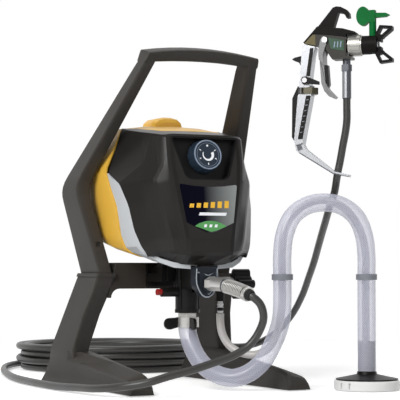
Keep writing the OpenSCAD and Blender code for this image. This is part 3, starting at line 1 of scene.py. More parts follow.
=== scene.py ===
import bpy, bmesh, json, math
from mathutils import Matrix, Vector

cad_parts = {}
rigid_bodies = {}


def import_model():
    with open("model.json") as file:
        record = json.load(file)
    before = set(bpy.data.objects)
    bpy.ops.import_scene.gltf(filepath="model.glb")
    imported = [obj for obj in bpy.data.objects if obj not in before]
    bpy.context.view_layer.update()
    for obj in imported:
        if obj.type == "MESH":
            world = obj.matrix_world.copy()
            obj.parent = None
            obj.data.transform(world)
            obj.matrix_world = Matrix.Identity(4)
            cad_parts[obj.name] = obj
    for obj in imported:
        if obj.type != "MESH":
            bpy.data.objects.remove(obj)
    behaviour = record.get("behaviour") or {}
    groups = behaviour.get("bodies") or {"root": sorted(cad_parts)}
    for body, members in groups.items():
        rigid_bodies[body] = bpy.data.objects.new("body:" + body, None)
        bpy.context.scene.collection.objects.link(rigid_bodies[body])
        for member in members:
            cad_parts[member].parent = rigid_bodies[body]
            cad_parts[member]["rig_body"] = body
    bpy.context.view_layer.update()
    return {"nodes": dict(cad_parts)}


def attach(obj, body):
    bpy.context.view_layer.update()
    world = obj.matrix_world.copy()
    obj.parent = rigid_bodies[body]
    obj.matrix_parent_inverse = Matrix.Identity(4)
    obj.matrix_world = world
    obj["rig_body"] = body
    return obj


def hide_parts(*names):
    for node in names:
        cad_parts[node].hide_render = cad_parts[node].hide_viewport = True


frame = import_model()
nodes = frame["nodes"]
scene = bpy.context.scene

# The CAD source works in millimetres about the middle of the stand; this is where that middle lies.
MID = (49.0, -38.0)


def P(x, y, z):
    return Vector(((x - MID[0]) / 1000, (y - MID[1]) / 1000, z / 1000))


# ---------- camera ----------

IMAGE_WIDTH = 400  # pixels
SENSOR_WIDTH = 36  # mm
FOCAL_PIXELS = 1635.68
CAMERA_AT = (-987.26, -2130.52, 165.56)
CAMERA_TILT, CAMERA_HEADING = 2.4263, -25.9899  # degrees

cam_data = bpy.data.cameras.new("camera")
cam = bpy.data.objects.new("camera", cam_data)
scene.collection.objects.link(cam)
cam_data.sensor_width = SENSOR_WIDTH
cam_data.lens = FOCAL_PIXELS * SENSOR_WIDTH / IMAGE_WIDTH
cam_data.clip_end = 50
cam.location = P(*CAMERA_AT)
cam.rotation_euler = (math.radians(90 + CAMERA_TILT), 0, math.radians(CAMERA_HEADING))
scene.camera = cam

# ---------- materials ----------


def maths(n, l, operation, a, b):
    """Output of a Math node on two sockets, or on a socket and a number."""
    m = n.new("ShaderNodeMath")
    m.operation = operation
    for value, socket in zip((a, b), m.inputs):
        if isinstance(value, (int, float)):
            socket.default_value = value
        else:
            l.new(value, socket)
    return m.outputs[0]


def ranged(n, l, value, from_range, to_range=(0, 1), smooth=False):
    """Output of a Map Range node."""
    r = n.new("ShaderNodeMapRange")
    if smooth:
        r.interpolation_type = "SMOOTHSTEP"
    for name, limit in zip(("From Min", "From Max", "To Min", "To Max"), (*from_range, *to_range)):
        r.inputs[name].default_value = limit
    l.new(value, r.inputs["Value"])
    return r.outputs[0]


BUMP_DEPTH = 0.0002  # metres


def material(name, base, rough=0.5, metal=0.0, vary=0.12, blotch=14.0, grain=900.0, bump=0.15,
             rough_vary=0.08, coat=0.0, spec=None, stretch=(1, 1, 1), uv=False):
    """Procedural surface: two scales of noise drive colour, roughness and bump."""
    m = bpy.data.materials.new(name)
    m.use_nodes = True
    n, l = m.node_tree.nodes, m.node_tree.links
    b = n["Principled BSDF"]
    b.inputs["Metallic"].default_value = metal
    b.inputs["Coat Weight"].default_value = coat
    b.inputs["Coat Roughness"].default_value = 0.15
    if spec is not None:
        b.inputs["Specular IOR Level"].default_value = spec
    tc = n.new("ShaderNodeTexCoord")
    mp = n.new("ShaderNodeMapping")
    mp.inputs["Scale"].default_value = stretch
    l.new(tc.outputs["UV" if uv else "Object"], mp.inputs["Vector"])
    big = n.new("ShaderNodeTexNoise")
    big.inputs["Scale"].default_value = blotch
    big.inputs["Detail"].default_value = 4
    l.new(mp.outputs["Vector"], big.inputs["Vector"])
    mixc = n.new("ShaderNodeMix")
    mixc.data_type = "RGBA"
    mixc.inputs[6].default_value = [min(1, c * (1 + vary * 0.6)) for c in base] + [1]
    mixc.inputs[7].default_value = [c * (1 - vary) for c in base] + [1]
    l.new(big.outputs["Fac"], mixc.inputs[0])
    l.new(mixc.outputs[2], b.inputs["Base Color"])
    fine = n.new("ShaderNodeTexNoise")
    fine.inputs["Scale"].default_value = grain
    fine.inputs["Detail"].default_value = 3
    l.new(mp.outputs["Vector"], fine.inputs["Vector"])
    both = maths(n, l, "ADD", big.outputs["Fac"], fine.outputs["Fac"])
    limits = (max(0.02, rough - rough_vary), min(1, rough + rough_vary))
    l.new(ranged(n, l, both, (0.6, 1.4), limits), b.inputs["Roughness"])
    bp = n.new("ShaderNodeBump")
    bp.inputs["Strength"].default_value = bump
    bp.inputs["Distance"].default_value = BUMP_DEPTH
    l.new(fine.outputs["Fac"], bp.inputs["Height"])
    l.new(bp.outputs["Normal"], b.inputs["Normal"])
    return m


M = {}
M["stand"] = material("stand_black", (0.043, 0.039, 0.035), 0.5, vary=0.14, blotch=9, grain=1400, bump=0.35,
                      rough_vary=0.06, spec=0.16)
M["stand_beam"] = material("stand_beam", (0.03, 0.026, 0.022), 0.55, vary=0.12, grain=1400, bump=0.3,
                           spec=0.25)
M["cover"] = material("cover_black", (0.015, 0.0135, 0.0125), 0.33, vary=0.12, blotch=8, grain=1800,
                      bump=0.12, rough_vary=0.05, spec=0.24)
M["panel"] = material("panel_black", (0.007, 0.007, 0.007), 0.42, grain=1500, bump=0.1, spec=0.15)
M["yellow"] = material("cover_yellow", (0.78, 0.45, 0.055), 0.4, vary=0.1, blotch=7, grain=1600, bump=0.1,
                       rough_vary=0.05)
M["band"] = material("band_silver", (0.5, 0.52, 0.54), 0.42, vary=0.06, blotch=10, grain=2200, bump=0.12)
M["black"] = material("black_plastic", (0.008, 0.0075, 0.007), 0.4, vary=0.2, grain=1500, bump=0.25,
                      spec=0.16)
M["dial"] = material("dial_blue", (0.016, 0.027, 0.043), 0.36, vary=0.15, grain=1600, bump=0.15, spec=0.25)
M["dial_rim"] = material("dial_rim", (0.2, 0.25, 0.33), 0.4, vary=0.1, grain=1600, bump=0.1)
M["print_white"] = material("print_white", (0.85, 0.87, 0.9), 0.5, vary=0.05, grain=2500, bump=0.05)
M["rubber"] = material("rubber", (0.015, 0.015, 0.015), 0.7, grain=1200, bump=0.4, spec=0.2)
M["cast"] = material("cast_metal", (0.018, 0.023, 0.031), 0.42, 0.2, vary=0.2, blotch=30, grain=1500,
                     bump=0.4, spec=0.22)
# a lighter copy of the cast metal, for the painted highlights and the painted lit facet on the pump front
M["cast_light"] = material("cast_painted_light_rim", (0.36, 0.4, 0.44), 0.38, 0.4, vary=0.1, blotch=30, grain=1600,
                           bump=0.25)
M["alu"] = material("light_metal", (0.45, 0.46, 0.48), 0.36, 0.72, vary=0.09, blotch=20, grain=1900, bump=0.2)
M["steel"] = material("steel", (0.55, 0.55, 0.56), 0.33, 0.9, vary=0.12, blotch=40, grain=1100, bump=0.15,
                      stretch=(1, 1, 0.2))
M["zinc"] = material("zinc_silver", (0.6, 0.59, 0.57), 0.34, 0.75, vary=0.14, blotch=40, grain=1500, bump=0.2)
M["nut_dark"] = material("nut_dark", (0.11, 0.115, 0.13), 0.36, 0.6, vary=0.15, blotch=50, grain=1500,
                         bump=0.2)
M["chrome"] = material("chrome", (0.85, 0.85, 0.86), 0.16, 0.95, vary=0.05, grain=1500, bump=0.05,
                       rough_vary=0.04)
M["copper"] = material("copper", (0.55, 0.27, 0.12), 0.4, 0.8, grain=1200)
M["brass"] = material("brass", (0.7, 0.52, 0.22), 0.35, 0.85, grain=1200)
M["board"] = material("board_green", (0.03, 0.16, 0.07), 0.45, grain=900)
M["hose"] = material("hose_black", (0.04, 0.039, 0.037), 0.38, vary=0.12, blotch=20, grain=1000, bump=0.18,
                     rough_vary=0.06, spec=0.45)
M["grey"] = material("grey_plastic", (0.2, 0.21, 0.235), 0.5, grain=1500, spec=0.3)
M["white"] = material("white_plastic", (0.74, 0.74, 0.73), 0.42, vary=0.05, grain=1500, bump=0.12)
M["red"] = material("button_red", (0.3, 0.012, 0.01), 0.35, vary=0.1, grain=1500, spec=0.3)
M["green"] = material("tip_green", (0.003, 0.13, 0.028), 0.42, vary=0.3, blotch=30, grain=1500, bump=0.15,
                      spec=0.07)
M["khaki"] = material("gun_khaki", (0.1, 0.082, 0.034), 0.42, 0.3, vary=0.15, blotch=30, grain=1500,
                      bump=0.2, spec=0.3)
M["gun_grey"] = material("gun_grey", (0.033, 0.031, 0.027), 0.42, 0.2, vary=0.15, blotch=25, grain=1500,
                         bump=0.25, spec=0.22)
M["hook"] = material("hook_black", (0.0065, 0.0055, 0.005), 0.48, vary=0.2, grain=1500, bump=0.2, spec=0.08)
M["badge"] = material("badge_green", (0.028, 0.07, 0.04), 0.4, 0.1, vary=0.15, blotch=40, grain=1500,
                      spec=0.3)
M["lens_green"] = material("lens_green", (0.085, 0.33, 0.09), 0.35, vary=0.15, blotch=60, grain=1500,
                           bump=0.08)
M["orange"] = material("print_orange", (0.86, 0.48, 0.03), 0.45, vary=0.1, blotch=60, grain=1500, bump=0.06)
M["ringnut"] = material("ring_khaki", (0.115, 0.105, 0.07), 0.36, 0.5, vary=0.2, blotch=40, grain=1500,
                        bump=0.2)
M["collar"] = material("collar_metal", (0.36, 0.355, 0.33), 0.34, 0.7, vary=0.1, blotch=40, grain=1500,
                       bump=0.2)
M["trigger"] = material("trigger_grey", (0.17, 0.17, 0.172), 0.36, 0.5, vary=0.12, blotch=30, grain=1500,
                        bump=0.2)


def graded(name, c0, c1, at0, at1, rough):
    """A colour that changes along one direction of the object, as printed on a label."""
    m = material(name, c0, rough, vary=0.05, grain=1800, bump=0.08, spec=0.05)
    n, l = m.node_tree.nodes, m.node_tree.links
    tc = n.new("ShaderNodeTexCoord")
    sep = n.new("ShaderNodeSeparateXYZ")
    l.new(tc.outputs["Object"], sep.inputs[0])
    ramp = n.new("ShaderNodeValToRGB")
    ramp.color_ramp.elements[0].color = list(c0) + [1]
    ramp.color_ramp.elements[1].color = list(c1) + [1]
    l.new(ranged(n, l, sep.outputs["X"], (at0, at1)), ramp.inputs[0])
    l.new(ramp.outputs[0], n["Principled BSDF"].inputs["Base Color"])
    return m


M["label"] = graded("label_print", (0.001, 0.001, 0.007), (0.28, 0.3, 0.29), P(-8, 0, 0).x, P(44, 0, 0).x,
                    0.35)


BRAID_DARK, BRAID_LIGHT = 0.7, 1.14


def braided(name, base, alpha_mid, alpha_edge, rough):
    """Clear hose wall with a crossed textile braid in it."""
    m = material(name, base, rough, vary=0.04, blotch=20, grain=1200, bump=0.05, coat=0.4)
    n, l = m.node_tree.nodes, m.node_tree.links
    b = n["Principled BSDF"]
    tc = n.new("ShaderNodeTexCoord")
    total = None
    for sign in (1, -1):
        mp = n.new("ShaderNodeMapping")
        mp.inputs["Rotation"].default_value = (0, 0, math.radians(45 * sign))
        l.new(tc.outputs["UV"], mp.inputs["Vector"])
        w = n.new("ShaderNodeTexWave")
        w.inputs["Scale"].default_value = 130
        w.bands_direction = "X"
        l.new(mp.outputs["Vector"], w.inputs["Vector"])
        total = w.outputs["Fac"] if total is None else maths(n, l, "MAXIMUM", total, w.outputs["Fac"])
    mixc = n.new("ShaderNodeMix")
    mixc.data_type = "RGBA"
    mixc.inputs[6].default_value = [c * BRAID_DARK for c in base] + [1]
    mixc.inputs[7].default_value = [min(1, c * BRAID_LIGHT) for c in base] + [1]
    l.new(total, mixc.inputs[0])
    l.new(mixc.outputs[2], b.inputs["Base Color"])
    lw = n.new("ShaderNodeLayerWeight")
    lw.inputs["Blend"].default_value = 0.35
    l.new(ranged(n, l, lw.outputs["Facing"], (0, 1), (alpha_mid, alpha_edge)), b.inputs["Alpha"])
    return m


def gauze(name):
    """Fine metal mesh, seen through the wall of the suction tube."""
    m = material(name, (0.05, 0.05, 0.055), 0.5, 0.4, uv=True, grain=300)
    n, l = m.node_tree.nodes, m.node_tree.links
    tc = n.new("ShaderNodeTexCoord")
    turn = n.new("ShaderNodeMapping")
    turn.inputs["Rotation"].default_value = (0, 0, math.radians(45))
    l.new(tc.outputs["UV"], turn.inputs["Vector"])
    check = n.new("ShaderNodeTexChecker")
    check.inputs["Scale"].default_value = 420
    check.inputs["Color1"].default_value = (0.03, 0.03, 0.035, 1)
    check.inputs["Color2"].default_value = (0.5, 0.5, 0.52, 1)
    l.new(turn.outputs["Vector"], check.inputs["Vector"])
    l.new(check.outputs["Color"], n["Principled BSDF"].inputs["Base Color"])
    return m


M["clear"] = braided("clear_braided", (0.56, 0.57, 0.68), 0.42, 0.78, 0.35)
M["gauze"] = gauze("stem_mesh")
M["milky"] = material("white_tube", (0.5, 0.48, 0.46), 0.35, vary=0.05, blotch=15, grain=1200, bump=0.1)


# ---------- shape helpers ----------


def mesh_of(name, bm):
    """Mesh made of a bmesh, which is freed."""
    me = bpy.data.meshes.new(name)
    bm.to_mesh(me)
    bm.free()
    return me


def add(name, me, mat, body, sharp=35):
    """Object in one material that rides on a body, shaded smooth up to the sharp angle."""
    ob = bpy.data.objects.new(name, me)
    scene.collection.objects.link(ob)
    me.materials.clear()
    me.materials.append(mat)
    for p in me.polygons:
        p.use_smooth = True
    me.set_sharp_from_angle(angle=math.radians(sharp))
    wn = ob.modifiers.new("weighted", "WEIGHTED_NORMAL")
    wn.keep_sharp = True
    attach(ob, body)
    return ob


def bevel_bm(bm, width, segs=2, angle=28):
    """Rounds the edges that turn by more than the angle; the width is in mm."""
    bm.normal_update()
    es = [e for e in bm.edges if len(e.link_faces) == 2 and e.calc_face_angle(0) > math.radians(angle)]
    if es and width > 0:
        bmesh.ops.bevel(bm, geom=es, offset=width / 1000, segments=segs, profile=0.6, affect="EDGES",
                        clamp_overlap=True)


def refined(node, mat, width=0.5, segs=2, angle=28, slot=None, sharp=35, zones=()):
    """The CAD part again, with its edges rounded, in a finished material; zones give faces another one."""
    src = nodes[node]
    bm = bmesh.new()
    bm.from_mesh(src.data)
    bmesh.ops.remove_doubles(bm, verts=bm.verts, dist=2e-6)
    bmesh.ops.dissolve_limit(bm, angle_limit=math.radians(0.03), verts=bm.verts, edges=bm.edges)
    bevel_bm(bm, width, segs, angle)
    me = mesh_of(node + "_round", bm)
    ob = add(node + "_piece", me, mat, src["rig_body"], sharp)
    for k, (other, inside) in enumerate(zones):
        me.materials.append(other)
        for f in me.polygons:
            c = f.center
            if inside(c.x * 1000 + MID[0], c.y * 1000 + MID[1], c.z * 1000):
                f.material_index = k + 1
    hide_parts(node)
    return ob


def plate(name, outline, t0, t1, to_world, mat, body, width=0.15, sharp=35):
    """Flat plate from an outline, between two depths, put in place by to_world(x, depth, z)."""
    bm = bmesh.new()
    a = [bm.verts.new(to_world(x, t0, z)) for x, z in outline]
    b = [bm.verts.new(to_world(x, t1, z)) for x, z in outline]
    bm.faces.new(a)
    bm.faces.new(list(reversed(b)))
    k = len(outline)
    for i in range(k):
        bm.faces.new((a[i], b[i], b[(i + 1) % k], a[(i + 1) % k]))
    bmesh.ops.recalc_face_normals(bm, faces=bm.faces)
    bevel_bm(bm, width, 1)
    return add(name, mesh_of(name, bm), mat, body, sharp)


def turned(name, profile, step, to_world, mat, body):
    """Ring with a closed profile of (radius, depth) points, made in steps of so many degrees."""
    bm = bmesh.new()
    rows = []
    for a in range(0, 360, step):
        c, s = math.cos(math.radians(a)), math.sin(math.radians(a))
        rows.append([bm.verts.new(to_world(r * c, y, r * s)) for r, y in profile])
    k = len(profile)
    for one, two in zip(rows, rows[1:] + rows[:1]):
        for j in range(k):
            bm.faces.new((one[j], one[(j + 1) % k], two[(j + 1) % k], two[j]))
    bmesh.ops.recalc_face_normals(bm, faces=bm.faces)
    return add(name, mesh_of(name, bm), mat, body)


def unit(v):
    return v / v.length


def tangent(p, i):
    """Direction of a path at one of its points."""
    if i == 0:
        return unit(p[1] - p[0])
    if i == len(p) - 1:
        return unit(p[i] - p[i - 1])
    a, b = p[i] - p[i - 1], p[i + 1] - p[i]
    return unit(unit(a) * b.length + unit(b) * a.length)


def smooth_path(p, k):
    """Smooth curve through the points, with k steps between each two."""
    out = []
    for i in range(len(p) - 1):
        ta, tb, a, b = tangent(p, i), tangent(p, i + 1), p[i], p[i + 1]
        d = (b - a).length
        for s in range(k):
            t = s / k
            out.append(a * (2 * t ** 3 - 3 * t * t + 1) + ta * d * (t ** 3 - 2 * t * t + t)
                       + b * (3 * t * t - 2 * t ** 3) + tb * d * (t ** 3 - t * t))
    out.append(p[-1])
    return out


def tube_mesh(name, path, r, sides, mat, body, radius=None):
    """Round tube with its ends closed and UVs in metres, along and round it."""
    t0 = tangent(path, 0)
    nrm = Vector((1, 0, 0)) if abs(t0.z) > 0.9 else Vector((0, 0, 1))
    verts, faces, uvs = [], [], []
    along = 0.0
    dist = []
    for i, c in enumerate(path):
        t = tangent(path, i)
        nrm = unit(nrm - t * nrm.dot(t))
        b = t.cross(nrm)
        if i:
            along += (c - path[i - 1]).length
        dist.append(along)
        rr = r if radius is None else radius(along)
        for s in range(sides):
            a = 2 * math.pi * s / sides
            verts.append(c + (nrm * math.cos(a) + b * math.sin(a)) * rr)
    for i in range(len(path) - 1):
        for s in range(sides):
            s2 = (s + 1) % sides
            faces.append((i * sides + s, i * sides + s2, (i + 1) * sides + s2, (i + 1) * sides + s))
            w = 2 * math.pi * r / sides
            uvs += [(dist[i], s * w), (dist[i], (s + 1) * w), (dist[i + 1], (s + 1) * w), (dist[i + 1], s * w)]
    faces.append(tuple(range(sides - 1, -1, -1)))
    faces.append(tuple((len(path) - 1) * sides + s for s in range(sides)))
    uvs += [(0, 0)] * (2 * sides)
    me = bpy.data.meshes.new(name)
    me.from_pydata(verts, [], faces)
    layer = me.uv_layers.new(name="UVMap")
    for i, uv in enumerate(uvs):
        layer.data[i].uv = uv
    return add(name, me, mat, body, 50)


# ---------- hoses ----------


# The routes repeat the CAD source's points, but for the front run between the outlet and the floor,
# which lies up to 6 mm from its solid.
def outlet_axis(t):
    """Point on the way out of the outlet, so many mm along it."""
    return Vector((0.16 * t, -131 - 0.98 * t, 146 - 0.0016 * t * t))


HOSE_D = 10.5
COIL_AT, COIL_R = (90, 409), 160
FULL_TURNS, STEPS_PER_TURN = 8, 24
GUN_AT, GUN_YAW = Vector((177, -192, 409)), math.radians(-44)


def gun_raw(x, y, z):
    """Point of the gun's own frame, in the frame of the CAD source."""
    c, s = math.cos(GUN_YAW), math.sin(GUN_YAW)
    return Vector((GUN_AT.x + x * c - y * s, GUN_AT.y + x * s + y * c, GUN_AT.z + z))


def coil_point(turn):
    """Point of the coil: the turns run out and in again, and climb a layer every two turns."""
    phase = turn % 4
    pitch, layer_pitch = HOSE_D + 1, HOSE_D + 0.5
    if turn > FULL_TURNS:
        r = COIL_R + pitch * phase
    else:
        r = COIL_R - pitch * (phase if phase < 2 else 4 - phase)
    layer = math.floor(turn / 2 + 0.5)
    off = turn - layer * 2
    if layer < 1 or layer >= 4:
        z = HOSE_D / 2 + 0.5 + layer_pitch * (0 if layer < 1 else 3)
    else:
        z = HOSE_D / 2 + 0.5 + layer_pitch * (layer - 1 + max(0, min(1, off * 2 + 0.5)))
    a = math.radians(100 - 360 * turn)
    return Vector((COIL_AT[0] + r * math.cos(a), COIL_AT[1] + r * math.sin(a), z))


coil = [coil_point(i / STEPS_PER_TURN) for i in range(round((FULL_TURNS + 100 / 360) * STEPS_PER_TURN) + 1)]
front = [outlet_axis(t) for t in (40.6, 54, 68, 82, 97)] + [Vector(p) for p in (
    (25.6, -232.4, 120.5), (30.2, -234, 102.7), (25.4, -230, 83.5), (14.5, -225, 66.7), (-5.1, -221, 53.8),
    (-34.6, -216, 43.6), (-64.7, -212.5, 34.6), (-97.1, -209, 27.1),
    (-122, -204, 20), (-150, -183, 14), (-167, -145, 10), (-175, -90, 8), (-180, -30, 6), (-182, 30, 6),
    (-180, 90, 6), (-174, 150, 6), (-163, 210, 6), (-148, 270, 6), (-131, 330, 6), (-110, 390, 6),
    (-84, 450, 6), (-48, 505, 6), (-2, 544, 6))]
to_gun = [Vector(p) for p in (
    (254, 350, 39), (258, 315, 37), (271, 265, 40), (284, 205, 60), (286, 150, 92),
    (275, 95, 125), (258, 45, 153), (242, 0, 178), (228, -35, 197), (214, -70, 216), (200, -105, 234),
    (187, -138, 252), (177, -170, 274), (171.7, -187, 298.5), (174, -189, 312.5), (177.4, -192.4, 338),
    (180, -194.8, 356), (181.3, -196.2, 372))]
low = gun_raw(6, 0, -8)
route = (front + [coil[0] - unit(coil[1] - coil[0]) * 20] + coil + [coil[-1] + unit(coil[-1] - coil[-2]) * 14]
         + to_gun + [low - Vector((0, 0, 14)), low])
hose_path = [P(*p) for p in smooth_path(route, 4)]
hose = tube_mesh("hose_piece", hose_path, HOSE_D / 2000, 16, M["hose"], "sprayer")
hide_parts("hose_front", "hose_coil", "hose_to_gun")

SUCTION_D, RETURN_D = 25, 11
suction_pts = [(0, -65, 99), (0, -65, 83), (1, -71, 67), (4, -86, 46), (12, -107, 28), (22, -124, 20),
    (34, -138, 17.5), (48, -148, 22), (66, -160, 38), (80, -171, 68), (86, -180, 97), (87, -182, 125),
    (87, -182, 155), (87, -182, 185), (90, -183, 212), (101, -185, 237), (121, -188, 252), (147, -193, 257),
    (173, -198, 252), (193, -201, 237), (204, -203, 212), (207, -204, 185), (207, -204, 155),
    (207, -204, 110), (207, -204, 66), (207, -204, 26)]
return_pts = [(44, -80, 104), (44, -80, 92), (46, -82, 76), (53, -89, 60), (64, -101, 50), (80, -114, 47),
    (93, -130, 56), (98, -146, 78), (97, -161, 108), (96, -165, 155), (96, -165, 190), (101, -166, 222),
    (119, -168, 247), (152, -173, 261), (184, -179, 252), (208, -185, 222), (216, -187, 190), (216, -187, 155),
    (216, -187, 90), (216, -187, 30)]
suction_path = [P(*p) for p in smooth_path([Vector(p) for p in suction_pts], 4)]
return_path = [P(*p) for p in smooth_path([Vector(p) for p in return_pts], 4)]
suction = tube_mesh("suction_piece", suction_path, SUCTION_D / 2000, 32, M["clear"], "sprayer")
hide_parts("suction_tube")
returned = tube_mesh("return_piece", return_path, RETURN_D / 2000, 20, M["milky"], "sprayer")
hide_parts("return_tube")

# strainer: cap, slotted disc, and the mesh stem inside the tube's end
cap = refined("strainer_cap", M["black"], 0.4, slot="black_plastic")
base = refined("strainer_base", M["white"], 0.5, slot="white_plastic")
clips = refined("tube_clips", M["grey"], 0.4, slot="grey_plastic")
STEM_R = 0.0118
stem = tube_mesh("strainer_stem", [P(207, -204, z) for z in (26, 27, 45, 63, 66, 67)], STEM_R, 28, M["gauze"],
                 "sprayer", radius=lambda d: STEM_R if d < 0.04 else 0.0112)

# ---------- parts with rounded edges ----------

ZONES = {
    "pump_block": [(M["black"], lambda x, y, z: y > -110 or abs(x) > 16.4)],
    "return_barb": [(M["black"], lambda x, y, z: z > 120.6 or 107.8 < z < 112.2)],
    "hose_clamp": [(M["black"], lambda x, y, z: math.hypot(x, y + 65) > 17.2)],
}
SPECIAL = {"front_cover": {"angle": 10, "sharp": 16}, "rear_cover": {"sharp": 20}, "mid_band": {"sharp": 20},
           "handle_frame": {"sharp": 25}, "left_leg": {"sharp": 20}, "right_leg": {"sharp": 20}}

for node, mat, width, slot in [
    ("handle_frame", "stand", 1.2, "stand_black"), ("left_leg", "stand", 1.2, "stand_black"),
    ("right_leg", "stand", 1.2, "stand_black"), ("crossbar", "stand_beam", 0.8, "stand_black"),
    ("foot_pads", "rubber", 0.5, "rubber"), ("frame_bolts", "steel", 0.5, "steel"),
    ("front_cover", "cover", 0.7, "cover_black"), ("mid_band", "band", 0.5, "band_silver"),
    ("rear_cover", "yellow", 0.7, "cover_yellow"), ("control_panel", "panel", 0.6, "cover_black"),
    ("label_plate", "label", 0.3, "label"),
    ("pressure_dial", "dial", 0.4, "dial_blue"),
    ("switch_body", "black", 0.5, "black_plastic"), ("switch_rocker", "red", 0.4, "button_red"),
    ("cord_gland", "black", 0.5, "black_plastic"),
    ("pump_block", "cast", 0.7, "cast_metal"), ("pump_shroud", "black", 0.5, "black_plastic"),
    ("inlet_valve", "zinc", 0.4, "steel"), ("inlet_pusher", "red", 0.6, "button_red"),
    ("prime_valve", "zinc", 0.5, "steel"), ("prime_knob", "black", 0.9, "black_plastic"),
    ("return_barb", "white", 0.3, "chrome"), ("hose_clamp", "zinc", 0.5, "steel"),
    ("outlet_fitting", "zinc", 0.7, "steel"),
    ("gun_body", "gun_grey", 0.8, "gun_grey"), ("gun_hook", "hook", 0.8, "gun_grey"),
    ("gun_handle", "alu", 0.9, "light_metal"), ("handle_nut", "ringnut", 0.6, "gun_khaki"),
    ("grip_pads", "black", 0.4, "black_plastic"), ("trigger", "trigger", 0.6, "light_metal"),
    ("trigger_pad", "black", 0.4, "black_plastic"), ("gun_pins", "steel", 0.3, "steel"),
    ("trigger_lock", "black", 0.4, "black_plastic"), ("collar_nut", "collar", 0.5, "light_metal"),
    ("tip_guard", "hook", 0.7, "black_plastic"), ("spray_tip", "green", 0.7, "tip_green"),
    ("gun_inlet", "nut_dark", 0.4, "steel"), ("packing_nut", "brass", 0.4, "brass"),
]:
    refined(node, M[mat], width, slot=slot, zones=ZONES.get(node, ()), **SPECIAL.get(node, {}))

# parts inside keep their CAD shape and get a finished material
for node, mat in [("pressure_control", "black"), ("control_board", "board"), ("gear_frame", "black"),
                  ("motor_case", "steel"), ("stator", "copper"), ("armature", "copper"), ("brushes", "black"),
                  ("end_bell", "alu"), ("bearings", "steel"), ("cooling_fan", "black"), ("drive_gear", "steel"),
                  ("piston", "steel"), ("needle", "steel")]:
    me = nodes[node].data
    me.materials.clear()
    me.materials.append(M[mat])

# ---------- guard spring ----------

COILS, WIRE, GUARD = 14, 0.95, 10.0
SPRING_FROM, SPRING_TO = 40, 88
SHADE_CORE_R, START_R, END_R = 0.0082, 0.0101, GUARD - 0.6

pitch = (SPRING_TO - SPRING_FROM - 2 * WIRE - 0.4) / COILS
wire = []
for i in range(COILS * 24 + 1):
    a = math.radians(i * 15)
    t = SPRING_FROM + 0.3 + WIRE + pitch * i / 24
    way = unit(Vector((0.16, -0.98, -0.0032 * t)))
    u = unit(way.cross(Vector((0, 0, 1))))
    v = u.cross(way)
    wire.append(P(*(outlet_axis(t) + (u * math.cos(a) + v * math.sin(a)) * (GUARD - WIRE))))
spring = tube_mesh("spring_piece", wire, WIRE / 1000, 10, M["zinc"], "sprayer")


def along_outlet(name, stations, r, sides, mat, radius=None):
    """Round piece on the way out of the outlet, with its ends at the first and last station."""
    tube_mesh(name, [P(*outlet_axis(t)) for t in stations], r, sides, M[mat], "sprayer", radius=radius)


# the hose inside the spring, drawn wider and darker than the hose itself: partly the real hose, partly painted
# shade in the gaps between the coils
along_outlet("spring_shade_core", [40.3 + 46.4 * i / 12 for i in range(13)], SHADE_CORE_R, 28, "rubber")
along_outlet("spring_start", (40.1, 40.8, 42.6, 43.3), START_R, 36, "nut_dark",
             lambda d: 0.0095 if d < 0.0004 or d > 0.0027 else START_R)
along_outlet("hose_collar", (92.2, 93, 96, 99.4), 0.0078, 32, "rubber",
             lambda d: 0.0073 if d < 0.0004 else 0.0078 if d < 0.002 else 0.0076 if d < 0.005 else 0.0062)
along_outlet("spring_end", (86.6, 87.5, 91, 92.6), GUARD / 1000, 40, "zinc",
             lambda d: (END_R if d < 0.0005 or d > 0.0055 else GUARD) / 1000)
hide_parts("hose_spring")

# ---------- dial face ----------

PANEL_COS, PANEL_SIN = math.cos(math.radians(10)), math.sin(math.radians(10))


def at_panel(x, y, z):
    """Point of the leaning control panel's frame, about the middle of the dial."""
    return P(x, -123.66 + y * PANEL_COS + z * PANEL_SIN, 321 - y * PANEL_SIN + z * PANEL_COS)


def sector(r0, r1, a0, a1, steps, grow=None):
    """Outline of a part of a ring, whose width may change along it."""
    outer, inner = [], []
    for i in range(steps + 1):
        f = i / steps
        a = math.radians(a0 + (a1 - a0) * f)
        w = 1 if grow is None else grow(f)
        mid = (r0 + r1) / 2
        h = (r1 - r0) / 2 * w
        outer.append(((mid + h) * math.cos(a), (mid + h) * math.sin(a)))
        inner.append(((mid - h) * math.cos(a), (mid - h) * math.sin(a)))
    return outer + inner[::-1]


FACE = -6.6  # depth of the dial's face
plate("dial_arc", sector(5.2, 9.6, 152, 388, 28, lambda f: 0.22 + 0.78 * f), FACE + 0.1, FACE - 0.2, at_panel,
      M["print_white"], "dial", 0.05)
for k, a in enumerate((150, 205, 270, 335, 390)):
    plate("dial_tick_%d" % k, sector(11.4, 14.2, a - 2.6, a + 2.6, 2), FACE + 0.1, FACE - 0.2, at_panel,
          M["print_white"], "dial", 0.05)
DOT_R, DOT_Z = 1.5, 12.6
dot = [(DOT_R * math.cos(math.radians(a)), DOT_Z + DOT_R * math.sin(math.radians(a))) for a in range(0, 360, 30)]
plate("dial_dot", dot, FACE + 0.1, FACE - 0.2, at_panel, M["print_white"], "dial", 0.05)
turned("dial_line", ((16.2, FACE + 0.1), (16.2, FACE - 0.15), (16.6, FACE - 0.15), (16.6, FACE + 0.1)), 6,
       at_panel, M["dial_rim"], "dial")
turned("dial_rim", ((18.7, FACE + 0.2), (19.0, FACE - 0.75), (19.7, FACE - 1.0), (20.4, FACE - 0.75),
                    (20.9, FACE + 0.3)), 4, at_panel, M["dial_rim"], "dial")

# ---------- label: generic bars over a green lens ----------

LABEL_LEAN = math.atan(0.1218)
LABEL_COS, LABEL_SIN = math.cos(LABEL_LEAN), math.sin(LABEL_LEAN)


def at_label(x, y, z):
    """Point of the leaning label plate's frame, about its middle."""
    return P(x, -135.007 + y * LABEL_COS + z * LABEL_SIN, 248 - y * LABEL_SIN + z * LABEL_COS)


